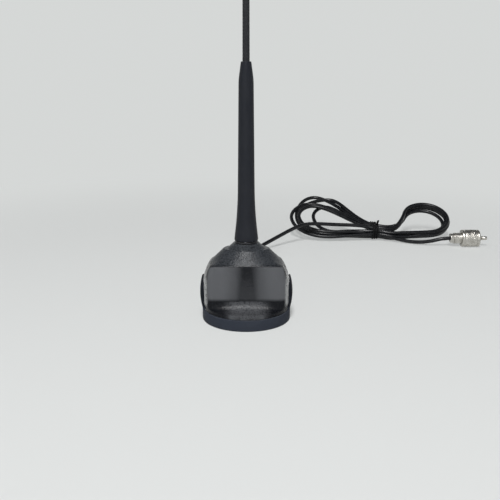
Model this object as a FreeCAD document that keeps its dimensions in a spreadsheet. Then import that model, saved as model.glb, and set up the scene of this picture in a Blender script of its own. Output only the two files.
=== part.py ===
"""CB antenna on a magnetic base, with its coax lead tied in a hank (millimetres).

The base's foot is centred on the origin, +Z runs up the mast and the front panel faces -Y.
Every driving dimension is a cell of the Sizes sheet, and the sketches, pads and placements
are bound to those cells.
"""
import FreeCAD, Part
import math
import os

import Sketcher

doc = FreeCAD.newDocument("cb_antenna")
sheet = doc.addObject("Spreadsheet::Sheet", "Sizes")


# Sizes and the expressions made from them

class Size:
    """A size's value, with the sheet expression that gives it."""

    def __init__(self, text, value):
        self.text = text
        self.value = value

    def __add__(self, other):
        other = as_size(other)
        return Size(f"({self.text} + {other.text})", self.value + other.value)

    def __sub__(self, other):
        other = as_size(other)
        return Size(f"({self.text} - {other.text})", self.value - other.value)

    def __mul__(self, other):
        other = as_size(other)
        return Size(f"({self.text} * {other.text})", self.value * other.value)

    def __truediv__(self, other):
        other = as_size(other)
        return Size(f"({self.text} / {other.text})", self.value / other.value)

    def __neg__(self):
        return Size(f"(0 - {self.text})", -self.value)

    def root(self):
        """Square root."""
        return Size(f"sqrt({self.text})", math.sqrt(self.value))


def as_size(value):
    """A plain number as a size of its own."""
    if isinstance(value, Size):
        return value
    return Size(f"{value:.6f}", float(value))


sheet_rows = []


def size(alias, value):
    """One cell of the sheet, under its alias."""
    sheet_rows.append(alias)
    row = len(sheet_rows)
    sheet.set(f"A{row}", alias.replace("_", " "))
    sheet.set(f"B{row}", str(value))
    sheet.setAlias(f"B{row}", alias)
    return Size(f"Sizes.{alias}", float(value))


ZERO = as_size(0)
fit = size("fit", 0.1)

# Rubber boot: ring, floor and two ears
boot_ledge = size("boot_ledge", 1.0)
boot_height = size("boot_height", 9.0)
boot_wall = size("boot_wall", 3.2)
boot_floor = size("boot_floor", 1.4)
boot_edge = size("boot_edge", 1.0)
ear_half_width = size("ear_half_width", 10.0)
ear_top = size("ear_top", 35.5)
ear_rim = size("ear_rim", 0.8)
ear_arc_radius = size("ear_arc_radius", 48.0)

# Housing: foot, flat panels, shoulder, roof and neck
body_radius = size("body_radius", 34.0)
body_wall = size("body_wall", 2.2)
body_corner = size("body_corner", 1.6)
back_corner = size("back_corner", 4.0)
foot_band = size("foot_band", 3.2)
lip_drop = size("lip_drop", 4.0)
lip_wall = size("lip_wall", 2.0)
panel_half_depth = size("panel_half_depth", 19.0)
panel_bottom = size("panel_bottom", 19.4)
wall_top = size("wall_top", 34.0)
shoulder_mid = size("shoulder_mid", 41.0)
shoulder_mid_inset = size("shoulder_mid_inset", 2.5)
shoulder_mid_side_radius = size("shoulder_mid_side_radius", 56.0)
shoulder_mid_back_corner = size("shoulder_mid_back_corner", 9.0)
shoulder_top = size("shoulder_top", 47.0)
shoulder_inset = size("shoulder_inset", 5.6)
shoulder_side_radius = size("shoulder_side_radius", 250.0)
shoulder_back_corner = size("shoulder_back_corner", 15.5)
roof_top = size("roof_top", 57.4)
roof_half_width = size("roof_half_width", 17.8)
roof_half_depth = size("roof_half_depth", 11.2)
neck_half_width = size("neck_half_width", 14.9)
neck_half_depth = size("neck_half_depth", 10.5)
neck_radius = size("neck_radius", 9.8)
neck_top = size("neck_top", 62.0)
post_inset = size("post_inset", 4.4)
post_deep = size("post_deep", 10.2)
post_radius = size("post_radius", 2.8)
post_height = size("post_height", 34.0)

# Magnet, pole plate and screws
plate_thickness = size("plate_thickness", 2.6)
magnet_clear = size("magnet_clear", 0.2)
magnet_bore = size("magnet_bore", 12.0)
screw_radius = size("screw_radius", 1.2)
screw_length = size("screw_length", 10.0)
screw_head_radius = size("screw_head_radius", 2.1)
screw_head_height = size("screw_head_height", 1.6)
screw_slot = size("screw_slot", 0.6)

# Stud, nut, tags and washer
stud_radius = size("stud_radius", 3.0)
stud_below = size("stud_below", 7.0)
stud_above = size("stud_above", 15.0)
nut_across_flats = size("nut_across_flats", 10.0)
nut_height = size("nut_height", 4.0)
tag_thickness = size("tag_thickness", 0.6)
tag_radius = size("tag_radius", 5.0)
tag_tongue = size("tag_tongue", 9.0)
tag_tongue_width = size("tag_tongue_width", 3.2)
ground_tag_offset = size("ground_tag_offset", 7.3)
ground_tag_width = size("ground_tag_width", 6.0)
washer_radius = size("washer_radius", 9.0)
washer_height = size("washer_height", 2.0)

# Mast, coil and whip
mast_length = size("mast_length", 135.6)
mast_foot_radius = size("mast_foot_radius", 9.4)
mast_foot_edge = size("mast_foot_edge", 0.8)
mast_flare_length = size("mast_flare_length", 41.0)
mast_flare_radius = size("mast_flare_radius", 330.0)
mast_waist_radius = size("mast_waist_radius", 6.5)
mast_neck_radius = size("mast_neck_radius", 5.65)
mast_tip_length = size("mast_tip_length", 13.2)
mast_tip_radius = size("mast_tip_radius", 3.9)
insert_radius = size("insert_radius", 4.6)
insert_length = size("insert_length", 20.0)
insert_flange_radius = size("insert_flange_radius", 7.0)
insert_flange = size("insert_flange", 1.5)
former_radius = size("former_radius", 3.0)
coil_thickness = size("coil_thickness", 0.8)
coil_end_gap = size("coil_end_gap", 6.0)
ferrule_radius = size("ferrule_radius", 3.0)
ferrule_length = size("ferrule_length", 20.0)
ferrule_top_gap = size("ferrule_top_gap", 5.0)
rod_radius = size("rod_radius", 1.5)
rod_depth = size("rod_depth", 14.0)
whip_length = size("whip_length", 246.0)
whip_foot_radius = size("whip_foot_radius", 2.7)
whip_top_radius = size("whip_top_radius", 2.1)
tip_wall = size("tip_wall", 0.6)
tip_cover = size("tip_cover", 7.0)
tip_crown = size("tip_crown", 1.4)

# Cable, gland and inner wires
cable_radius = size("cable_radius", 2.0)
gland_height = size("gland_height", 27.0)
gland_radius = size("gland_radius", 3.9)
gland_flange_radius = size("gland_flange_radius", 5.6)
gland_flange = size("gland_flange", 1.4)
gland_tail = size("gland_tail", 13.0)
gland_tail_radius = size("gland_tail_radius", 3.0)
cable_inside = size("cable_inside", 6.0)
centre_wire_radius = size("centre_wire_radius", 0.5)
braid_wire_radius = size("braid_wire_radius", 0.8)
wire_rise = size("wire_rise", 5.0)
wire_drop = size("wire_drop", 7.0)
wire_straight = size("wire_straight", 13.0)
braid_straight = size("braid_straight", 6.4)

# Hank and tie
hank_across = size("hank_across", 145.0)
hank_back = size("hank_back", 255.0)
hank_tilt = size("hank_tilt", 27.0)
hank_thickness = size("hank_thickness", 11.0)
hank_neck_half_width = size("hank_neck_half_width", 7.0)
left_lobe_out = size("left_lobe_out", 60.0)
left_lobe_up = size("left_lobe_up", 28.0)
left_lobe_radius = size("left_lobe_radius", 37.0)
right_lobe_out = size("right_lobe_out", 52.0)
right_lobe_up = size("right_lobe_up", 21.0)
right_lobe_radius = size("right_lobe_radius", 30.0)
lobe_band = size("lobe_band", 14.0)
tie_wire = size("tie_wire", 1.2)
tie_width = size("tie_width", 3.6)
tie_gap = size("tie_gap", 0.8)
tie_tail_radius = size("tie_tail_radius", 1.1)
tie_tail = size("tie_tail", 4.4)

# Coax plug
plug_across = size("plug_across", 220.0)
plug_back = size("plug_back", 223.0)
barrel_radius = size("barrel_radius", 5.8)
barrel_length = size("barrel_length", 16.0)
barrel_bore = size("barrel_bore", 2.6)
flange_radius = size("flange_radius", 7.5)
flange_length = size("flange_length", 2.0)
shell_radius = size("shell_radius", 6.2)
shell_length = size("shell_length", 9.0)
shell_wall = size("shell_wall", 1.2)
sleeve_radius = size("sleeve_radius", 9.2)
sleeve_length = size("sleeve_length", 19.0)
sleeve_start = size("sleeve_start", 12.0)
sleeve_lip = size("sleeve_lip", 2.4)
sleeve_edge = size("sleeve_edge", 0.7)
running_gap = size("running_gap", 0.35)
reducer_radius = size("reducer_radius", 5.2)
reducer_collar = size("reducer_collar", 4.0)
reducer_shank_radius = size("reducer_shank_radius", 4.4)
reducer_shank = size("reducer_shank", 9.0)
pin_radius = size("pin_radius", 1.98)
pin_shank_radius = size("pin_shank_radius", 1.4)
pin_free = size("pin_free", 9.0)
pin_round = size("pin_round", 1.2)
pin_inside = size("pin_inside", 15.0)

doc.recompute()

# Radii, places and heights that follow from the sizes
boot_radius = body_radius + boot_ledge
shoulder_mid_half_width = body_radius - shoulder_mid_inset
shoulder_half_width = body_radius - shoulder_inset
plate_bottom = boot_height - plate_thickness
neck_floor = roof_top - body_wall
mast_bottom = neck_top + washer_height
mast_top = mast_bottom + mast_length
tip_bottom = mast_top - mast_tip_length
flare_top = mast_bottom + mast_flare_length
ring_inner = boot_radius - boot_wall
cavity_radius = ring_inner - fit - lip_wall
post_across = cavity_radius - post_inset
post_reach = (post_across * post_across + post_deep * post_deep).root()
magnet_radius = post_reach - screw_head_radius - magnet_clear
ground_tag_across = post_across - ground_tag_offset
post_inner = screw_radius + fit * 0.5
insert_top = mast_bottom + insert_length
ferrule_top = mast_top - ferrule_top_gap
ferrule_bottom = ferrule_top - ferrule_length
whip_top = mast_top + whip_length
back_panel = panel_half_depth

sub_parts = []


# Helpers for bodies, sketches and features

def body(label):
    """A new sub-part."""
    made = doc.addObject("PartDesign::Body", label)
    made.Label = label
    sub_parts.append(made)
    return made


def place(target, across=ZERO, back=ZERO, up=ZERO, axis=(0, 0, 1), angle=0):
    """Turn a sub-part about an axis and bind its place to the sheet."""
    turn = FreeCAD.Rotation(FreeCAD.Vector(*axis), angle)
    spot = FreeCAD.Vector(across.value, back.value, up.value)
    target.Placement = FreeCAD.Placement(spot, turn)
    for name, length in (("x", across), ("y", back), ("z", up)):
        target.setExpression(f"Placement.Base.{name}", length.text)


def sketch_on(owner, name, plane, offset=ZERO):
    """An empty sketch on one of a body's own planes."""
    made = owner.newObject("Sketcher::SketchObject", name)
    support = [item for item in owner.Origin.OriginFeatures if item.Role == plane]
    made.AttachmentSupport = [(support[0], "")]
    made.MapMode = "FlatFace"
    made.AttachmentOffset = FreeCAD.Placement(FreeCAD.Vector(0, 0, offset.value), FreeCAD.Rotation())
    made.setExpression("AttachmentOffset.Base.z", offset.text)
    return made


def bind(sketch, index, length):
    """Bind one dimension of a sketch to the sheet."""
    sketch.setExpression(f"Constraints[{index}]", length.text)


def pin_point(sketch, geometry, position, across, up):
    """Dimension one point of a sketch from the sketch's origin."""
    for kind, length, axis in (("DistanceX", across, -2), ("DistanceY", up, -1)):
        if length is ZERO:
            sketch.addConstraint(Sketcher.Constraint("PointOnObject", geometry, position, axis))
            continue
        bind(sketch, sketch.addConstraint(
            Sketcher.Constraint(kind, geometry, position, length.value)), length)


def outline(sketch, corners, arcs=None):
    """Closed outline through corners; arcs gives some edges a radius, positive to bulge left."""
    arcs = arcs or {}
    start = len(sketch.Geometry)
    ends = []
    points = [FreeCAD.Vector(across.value, up.value, 0) for across, up in corners]
    for index, point in enumerate(points):
        follow = points[(index + 1) % len(points)]
        if index not in arcs:
            sketch.addGeometry(Part.LineSegment(point, follow))
            ends.append((1, 2))
            continue
        radius, side = arcs[index]
        chord = follow - point
        left = FreeCAD.Vector(-chord.y, chord.x, 0).normalize()
        reach = math.sqrt(max(radius.value ** 2 - (chord.Length / 2) ** 2, 0))
        centre = (point + follow) * 0.5 - left * (reach * side)
        first, last = (follow, point) if side > 0 else (point, follow)
        angles = [math.atan2(spot.y - centre.y, spot.x - centre.x) for spot in (first, last)]
        circle = Part.Circle(centre, FreeCAD.Vector(0, 0, 1), radius.value)
        sketch.addGeometry(Part.ArcOfCircle(circle, angles[0], angles[1]))
        ends.append((2, 1) if side > 0 else (1, 2))
    for index in range(len(points)):
        follow = (index + 1) % len(points)
        sketch.addConstraint(Sketcher.Constraint(
            "Coincident", start + index, ends[index][1], start + follow, ends[follow][0]))
    for index, (across, up) in enumerate(corners):
        pin_point(sketch, start + index, ends[index][0], across, up)
    for index, (radius, side) in arcs.items():
        bind(sketch, sketch.addConstraint(
            Sketcher.Constraint("Radius", start + index, radius.value)), radius)
    return sketch


def ring(sketch, *radii, across=ZERO, up=ZERO):
    """Concentric circles."""
    for radius in radii:
        centre = FreeCAD.Vector(across.value, up.value, 0)
        index = sketch.addGeometry(Part.Circle(centre, FreeCAD.Vector(0, 0, 1), radius.value))
        pin_point(sketch, index, 3, across, up)
        bind(sketch, sketch.addConstraint(Sketcher.Constraint("Radius", index, radius.value)), radius)
    return sketch


def oval(sketch, half_width, half_depth):
    """Ellipse about the sketch's origin, longer across."""
    index = sketch.addGeometry(Part.Ellipse(
        FreeCAD.Vector(half_width.value, 0, 0), FreeCAD.Vector(0, half_depth.value, 0),
        FreeCAD.Vector(0, 0, 0)))
    sketch.exposeInternalGeometry(index)
    pin_point(sketch, index, 3, ZERO, ZERO)
    sketch.addConstraint(Sketcher.Constraint("Horizontal", index + 1))
    for line, length in ((index + 1, half_width * 2), (index + 2, half_depth * 2)):
        bind(sketch, sketch.addConstraint(
            Sketcher.Constraint("Distance", line, 1, line, 2, length.value)), length)
    return sketch


def panelled(sketch, half_width, half_depth, side_radius, front_corner, rear_corner):
    """Section with flat front and back, bowed sides and tangent corner arcs."""
    side_centre = half_width - side_radius

    def tangent(corner):
        """Where a corner arc leaves the flat, and where it meets the side."""
        corner_deep = half_depth - corner
        inner = side_radius - corner
        spread = (inner * inner - corner_deep * corner_deep).root()
        return (side_centre + spread, side_centre + spread * side_radius / inner,
                corner_deep * side_radius / inner)

    front, front_across, front_deep = tangent(front_corner)
    rear, rear_across, rear_deep = tangent(rear_corner)
    corners = [(-front, -half_depth), (front, -half_depth), (front_across, -front_deep),
               (rear_across, rear_deep), (rear, half_depth), (-rear, half_depth),
               (-rear_across, rear_deep), (-front_across, -front_deep)]
    arcs = {1: (front_corner, -1), 2: (side_radius, -1), 3: (rear_corner, -1),
            5: (rear_corner, -1), 6: (side_radius, -1), 7: (front_corner, -1)}
    return outline(sketch, corners, arcs)


def pad(owner, sketch, length, reverse=False):
    """Pad a sketch along its normal."""
    made = owner.newObject("PartDesign::Pad", sketch.Name + "_pad")
    made.Profile = sketch
    made.Reversed = reverse
    made.setExpression("Length", length.text)
    return made


def pocket(owner, sketch, length, reverse=False, both=False):
    """Cut a sketch out of the body, against its normal, and make sure that it cut."""
    doc.recompute()
    before = owner.Shape.Volume
    made = owner.newObject("PartDesign::Pocket", sketch.Name + "_pocket")
    made.Profile = sketch
    made.Reversed = reverse
    made.Midplane = both
    made.setExpression("Length", length.text)
    doc.recompute()
    if owner.Shape.Volume > before - 1e-3:
        raise RuntimeError(f"{made.Name} cut nothing")
    return made


def loft(owner, sketches, ruled=True, cut=False):
    """Loft through sketches, added to the body or cut from it."""
    kind = "PartDesign::SubtractiveLoft" if cut else "PartDesign::AdditiveLoft"
    made = owner.newObject(kind, sketches[0].Name + "_loft")
    made.Profile = sketches[0]
    made.Sections = sketches[1:]
    made.Ruled = ruled
    return made


def turned(label, corners, arcs=None):
    """A sub-part turned about its own Z axis, from a half outline of (radius, height)."""
    made = body(label)
    half = outline(sketch_on(made, label + "_half", "XZ_Plane"), corners, arcs)
    spin = made.newObject("PartDesign::Revolution", label + "_turn")
    spin.Profile = half
    spin.ReferenceAxis = (half, ["V_Axis"])
    return made


def tube(label, points, radius):
    """Round tube along straight runs joined by the largest tangent arcs that they allow."""
    path = [FreeCAD.Vector(*point) for point in points]
    edges = []
    here = path[0]
    bends = []
    for before, corner, after in zip(path, path[1:], path[2:]):
        back, ahead = (before - corner), (after - corner)
        run = 0.45 * min(back.Length, ahead.Length)
        half_turn = (math.pi - back.getAngle(ahead)) / 2
        back.normalize()
        ahead.normalize()
        bend = run / math.tan(half_turn)
        inward = (back + ahead).normalize()
        middle = corner + inward * (math.hypot(bend, run) - bend)
        enter, leave = corner + back * run, corner + ahead * run
        edges.append(Part.LineSegment(here, enter).toShape())
        edges.append(Part.Arc(enter, middle, leave).toShape())
        here = leave
        bends.append(round(bend, 1))
    edges.append(Part.LineSegment(here, path[-1]).toShape())
    wire = Part.Wire(edges)
    section = Part.Wire(Part.Circle(path[0], path[1] - path[0], radius).toShape())
    shape = wire.makePipeShell([section], True, False)
    made = doc.addObject("Part::Feature", label)
    made.Label = label
    made.Shape = shape
    sub_parts.append(made)
    expected = math.pi * radius ** 2 * wire.Length
    if abs(shape.Volume / expected - 1) > 0.01:
        raise RuntimeError(f"{label} has volume {shape.Volume:.1f}, not {expected:.1f}")
    print(label, "length", round(wire.Length, 1), "bend radii", bends)
    return made


# Base

def rubber_boot():
    """Rubber ring with a thin floor, and an ear that grips each side of the housing."""
    ear_inner = body_radius + fit
    made = turned("rubber_boot", [
        (ZERO, ZERO), (boot_radius - boot_edge, ZERO), (boot_radius, boot_edge),
        (boot_radius, boot_height), (ear_inner + ear_rim, ear_top), (ear_inner, ear_top),
        (ear_inner, boot_height), (ring_inner, boot_height), (ring_inner, boot_floor),
        (ZERO, boot_floor)],
        {1: (boot_edge, -1), 3: (ear_arc_radius, -1)})
    around = boot_radius * 1.5
    arch = ear_top - ear_half_width
    above = ear_top + ear_half_width
    outside = outline(sketch_on(made, "ear_outline", "YZ_Plane"), [
        (-around, boot_height), (-ear_half_width, boot_height), (-ear_half_width, arch),
        (ZERO, ear_top), (ear_half_width, arch), (ear_half_width, boot_height),
        (around, boot_height), (around, above), (-around, above)],
        {2: (ear_half_width, 1), 3: (ear_half_width, 1)})
    pocket(made, outside, around * 2, both=True)


def housing():
    """Moulded cover: round foot, flat panels, rounded shoulder, sloped roof and neck."""
    made = body("housing")

    def level(name, height):
        return sketch_on(made, name, "XY_Plane", height)

    def shell(name, skin, cut):
        """The outer form, or the same form drawn in by the wall to hollow it."""
        def section(part, height, half_width, side_radius, rear_corner):
            return panelled(level(name + part, height), half_width - skin, panel_half_depth - skin,
                            side_radius - skin, body_corner * 0.4 if cut else body_corner,
                            rear_corner - skin)
        foot_radius = cavity_radius if cut else body_radius
        foot_height = boot_height if cut else boot_height + foot_band
        foot = ring(level(name + "_foot", foot_height), foot_radius)
        low = section("_low", panel_bottom - skin, body_radius, body_radius, back_corner)
        high = section("_high", wall_top, body_radius, body_radius, back_corner)
        high_again = section("_high_again", wall_top, body_radius, body_radius, back_corner)
        middle = section("_middle", shoulder_mid - skin * 0.5, shoulder_mid_half_width,
                         shoulder_mid_side_radius, shoulder_mid_back_corner)
        top = section("_top", shoulder_top - skin * 0.5, shoulder_half_width, shoulder_side_radius,
                      shoulder_back_corner)
        top_again = section("_top_again", shoulder_top - skin * 0.5, shoulder_half_width,
                            shoulder_side_radius, shoulder_back_corner)
        crown = oval(level(name + "_crown", roof_top - skin), roof_half_width - skin,
                     roof_half_depth - skin)
        loft(made, [foot, low], cut=cut)
        loft(made, [section("_wall", panel_bottom - skin, body_radius, body_radius, back_corner),
                    high], cut=cut)
        loft(made, [high_again, middle, top], ruled=False, cut=cut)
        loft(made, [top_again, crown], cut=cut)

    lip = ring(level("lip", boot_height - lip_drop), ring_inner - fit)
    pad(made, lip, lip_drop)
    band = ring(level("foot_band", boot_height), body_radius)
    pad(made, band, foot_band)
    shell("outer", ZERO, False)
    neck_foot = oval(level("neck_foot", roof_top), neck_half_width, neck_half_depth)
    loft(made, [neck_foot, ring(level("neck_crown", neck_top), neck_radius)])
    mouth = ring(level("mouth", boot_height - lip_drop), cavity_radius)
    pocket(made, mouth, lip_drop, reverse=True)
    shell("inner", body_wall, True)
    posts = level("posts", boot_height)
    for across in (-post_across, post_across):
        for deep in (-post_deep, post_deep):
            ring(posts, post_radius, across=across, up=deep)
    pad(made, posts, post_height)
    pilots = level("pilots", boot_height)
    for across in (-post_across, post_across):
        for deep in (-post_deep, post_deep):
            ring(pilots, post_inner, across=across, up=deep)
    pocket(made, pilots, screw_length, reverse=True)
    bore = ring(level("stud_bore", neck_floor - stud_below), stud_radius + fit * 0.5)
    pocket(made, bore, neck_top, reverse=True)
    gland_hole = ring(sketch_on(made, "gland_hole", "XZ_Plane"), gland_radius + fit * 0.5, up=gland_height)
    pocket(made, gland_hole, panel_half_depth * 2)
    return made


def magnet_and_plate():
    """Ferrite ring under a steel plate, with four screws up into the posts."""
    turned("ring_magnet", [
        (magnet_bore, boot_floor), (magnet_radius, boot_floor), (magnet_radius, plate_bottom),
        (magnet_bore, plate_bottom)])
    plate = body("pole_plate")
    disc = ring(sketch_on(plate, "plate_disc", "XY_Plane", plate_bottom), cavity_radius - fit * 3)
    pad(plate, disc, plate_thickness)
    holes = sketch_on(plate, "plate_holes", "XY_Plane", plate_bottom)
    for across in (-post_across, post_across):
        for deep in (-post_deep, post_deep):
            ring(holes, screw_radius + fit, across=across, up=deep)
    pocket(plate, holes, plate_thickness, reverse=True)
    screws = body("plate_screws")
    heads = sketch_on(screws, "screw_heads", "XY_Plane", plate_bottom - screw_head_height)
    shanks = sketch_on(screws, "screw_shanks", "XY_Plane", plate_bottom)
    slots = sketch_on(screws, "screw_slots", "XY_Plane", plate_bottom - screw_head_height)
    screws.AllowCompound = True
    for across in (-post_across, post_across):
        for deep in (-post_deep, post_deep):
            ring(heads, screw_head_radius, across=across, up=deep)
            ring(shanks, screw_radius, across=across, up=deep)
            half_slot = screw_slot / 2
            outline(slots, [
                (across - screw_head_radius, deep - half_slot),
                (across + screw_head_radius, deep - half_slot),
                (across + screw_head_radius, deep + half_slot),
                (across - screw_head_radius, deep + half_slot)])
    pad(screws, heads, screw_head_height)
    pad(screws, shanks, screw_length)
    pocket(screws, slots, screw_head_height / 2, reverse=True)


def stud_and_tags():
    """Brass stud through the neck, its nut and the two solder tags."""
    turned("mast_stud", [
        (ZERO, neck_floor - stud_below), (stud_radius, neck_floor - stud_below),
        (stud_radius, mast_bottom + stud_above), (ZERO, mast_bottom + stud_above)])
    tag_bottom = neck_floor - tag_thickness
    tag = body("solder_tag")
    eye = ring(sketch_on(tag, "tag_eye", "XY_Plane", tag_bottom), tag_radius)
    pad(tag, eye, tag_thickness)
    half = tag_tongue_width / 2
    tongue = outline(sketch_on(tag, "tag_tongue_plan", "XY_Plane", tag_bottom), [
        (-half, ZERO), (half, ZERO), (half, tag_tongue), (-half, tag_tongue)])
    pad(tag, tongue, tag_thickness)
    hole = ring(sketch_on(tag, "tag_hole", "XY_Plane", tag_bottom), stud_radius + fit)
    pocket(tag, hole, tag_thickness, reverse=True)
    nut = body("stud_nut")
    nut_bottom = tag_bottom - nut_height
    flat = nut_across_flats / 2
    corner = nut_across_flats / as_size(math.sqrt(3))
    hexagon = outline(sketch_on(nut, "nut_plan", "XY_Plane", nut_bottom), [
        (flat, -corner / 2), (flat, corner / 2), (ZERO, corner), (-flat, corner / 2),
        (-flat, -corner / 2), (ZERO, -corner)])
    pad(nut, hexagon, nut_height)
    thread = ring(sketch_on(nut, "nut_bore", "XY_Plane", nut_bottom), stud_radius + fit * 0.5)
    pocket(nut, thread, nut_height, reverse=True)
    turned("neck_washer", [
        (stud_radius + fit, neck_top), (washer_radius, neck_top), (washer_radius, mast_bottom),
        (stud_radius + fit, mast_bottom)])


# Mast and whip

def mast():
    """Tapered mast with a flared foot, and the insert, coil and ferrule inside it."""
    coil_bore = former_radius + coil_thickness + fit
    ferrule_bore = ferrule_radius + fit * 0.5
    whip_bore = whip_foot_radius + fit * 0.5
    insert_bore = insert_radius + fit * 0.5
    flange_bore = insert_flange_radius + fit * 0.5
    flange_top = mast_bottom + insert_flange
    turned("mast_tube", [
        (flange_bore, mast_bottom), (mast_foot_radius - mast_foot_edge, mast_bottom),
        (mast_foot_radius, mast_bottom + mast_foot_edge), (mast_waist_radius, flare_top),
        (mast_neck_radius, tip_bottom), (mast_tip_radius, mast_top), (whip_bore, mast_top),
        (whip_bore, ferrule_top), (ferrule_bore, ferrule_top), (ferrule_bore, ferrule_bottom),
        (coil_bore, ferrule_bottom), (coil_bore, insert_top), (insert_bore, insert_top),
        (insert_bore, flange_top), (flange_bore, flange_top)],
        {1: (mast_foot_edge, -1), 2: (mast_flare_radius, 1)})
    thread = stud_radius + fit * 0.5
    turned("mast_insert", [
        (thread, mast_bottom), (insert_flange_radius, mast_bottom), (insert_flange_radius, flange_top),
        (insert_radius, flange_top), (insert_radius, insert_top), (ZERO, insert_top),
        (ZERO, mast_bottom + stud_above + fit), (thread, mast_bottom + stud_above + fit)])
    turned("coil_former", [
        (ZERO, insert_top), (former_radius, insert_top), (former_radius, ferrule_bottom),
        (ZERO, ferrule_bottom)])
    coil_outer = former_radius + coil_thickness
    coil_bottom = insert_top + coil_end_gap
    coil_top = ferrule_bottom - coil_end_gap
    turned("loading_coil", [
        (former_radius, coil_bottom), (coil_outer, coil_bottom), (coil_outer, coil_top),
        (former_radius, coil_top)])
    rod_hole = rod_radius + fit * 0.5
    rod_bottom = ferrule_top - rod_depth
    turned("whip_ferrule", [
        (ZERO, ferrule_bottom), (ferrule_radius, ferrule_bottom), (ferrule_radius, ferrule_top),
        (rod_hole, ferrule_top), (rod_hole, rod_bottom), (ZERO, rod_bottom)])


def whip():
    """Slender tapered whip: rod, sleeve and a plain cap."""
    rod_bottom = ferrule_top - rod_depth
    sleeve_bore = rod_radius + fit * 0.5
    turned("whip_rod", [
        (ZERO, rod_bottom), (rod_radius, rod_bottom), (rod_radius, whip_top), (ZERO, whip_top)])
    turned("whip_sleeve", [
        (sleeve_bore, ferrule_top), (whip_foot_radius, ferrule_top), (whip_foot_radius, mast_top),
        (whip_top_radius, whip_top), (sleeve_bore, whip_top)])
    cap_bore = whip_foot_radius - (whip_foot_radius - whip_top_radius) * (
        (whip_length - tip_cover) / whip_length) + fit * 0.5
    cap_radius = cap_bore + tip_wall
    cap_bottom = whip_top - tip_cover
    cap_top = whip_top + tip_crown
    turned("whip_tip", [
        (cap_bore, cap_bottom), (cap_radius, cap_bottom), (cap_radius, cap_top - cap_radius + tip_crown),
        (ZERO, cap_top + tip_crown), (ZERO, whip_top), (cap_bore, whip_top)],
        {2: (cap_radius, -1)})


# Lead, hank and tie

def cable_gland():
    """Rubber strain relief in the back panel, turned about its own axis."""
    bore = cable_radius + fit * 0.5
    inner_face = -body_wall
    made = turned("cable_gland", [
        (bore, inner_face - gland_flange), (gland_flange_radius, inner_face - gland_flange),
        (gland_flange_radius, inner_face), (gland_radius, inner_face), (gland_radius, ZERO),
        (gland_flange_radius, ZERO), (gland_flange_radius, gland_flange),
        (gland_radius, gland_flange), (gland_tail_radius, gland_tail), (bore, gland_tail)])
    place(made, back=back_panel, up=gland_height, axis=(1, 0, 0), angle=-90)


def lead_cable():
    """Coax from inside the housing, down to the floor and up to the tied hank."""
    start = back_panel.value - body_wall.value - gland_flange.value - cable_inside.value
    tube("lead_cable", [
        (0, start, gland_height.value), (0, 45, gland_height.value), (1.5, 79, 16), (3, 110, 4.5),
        (2, 139, 2.3), (0, 163, 2.6), (1.5, 184, 2.3), (8, 199, 3.2), (19, 209, 6), (36, 223, 11),
        (55, 236, 15.5), (76, 246, 18.6), (99, 250, 19.6), (119, 251, 18.8), (136, 253, 13.5)],
        cable_radius.value)


def inner_wires():
    """Centre conductor up to the stud's tag, and the braid down to a plate screw's tag."""
    start = back_panel.value - body_wall.value - gland_flange.value - cable_inside.value
    tag_under = neck_floor.value - tag_thickness.value
    tag_end = tag_tongue.value - tag_tongue_width.value / 2
    tag_top = boot_height.value + tag_thickness.value
    tube("centre_wire", [
        (-0.7, start, gland_height.value + 0.5), (-0.7, start - 3, gland_height.value + 0.5),
        (-0.5, start - 4, gland_height.value + wire_rise.value),
        (0, tag_end, tag_under - wire_straight.value), (0, tag_end, tag_under)],
        centre_wire_radius.value)
    tube("braid_wire", [
        (0.7, start, gland_height.value - 0.5), (0.7, start - 4, gland_height.value - 0.5),
        (6, start - 5, gland_height.value - wire_drop.value),
        (ground_tag_across.value, post_deep.value, tag_top + braid_straight.value),
        (ground_tag_across.value, post_deep.value, tag_top)],
        braid_wire_radius.value)


def hank_frame():
    """Placement of the hank: its own plane, tilted back about the line of the tie."""
    turn = FreeCAD.Rotation(FreeCAD.Vector(1, 0, 0), hank_tilt.value)
    tilt = math.radians(hank_tilt.value)
    lobes = max(left_lobe_radius.value - left_lobe_up.value, right_lobe_radius.value - right_lobe_up.value)
    wrap = tie_wire.value + fit.value
    up = max(lobes * math.sin(tilt),
             (hank_neck_half_width.value + wrap) * math.sin(tilt) + wrap * math.cos(tilt))
    return FreeCAD.Placement(FreeCAD.Vector(hank_across.value, hank_back.value, up), turn)


def tangent_point(centre, radius, outside, side):
    """Where the tangent from a point outside touches a circle, on the chosen side."""
    away = outside - centre
    turn = side * math.acos(radius / away.Length)
    return centre + FreeCAD.Rotation(FreeCAD.Vector(0, 0, 1), math.degrees(turn)).multVec(
        away.normalize() * radius)


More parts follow.
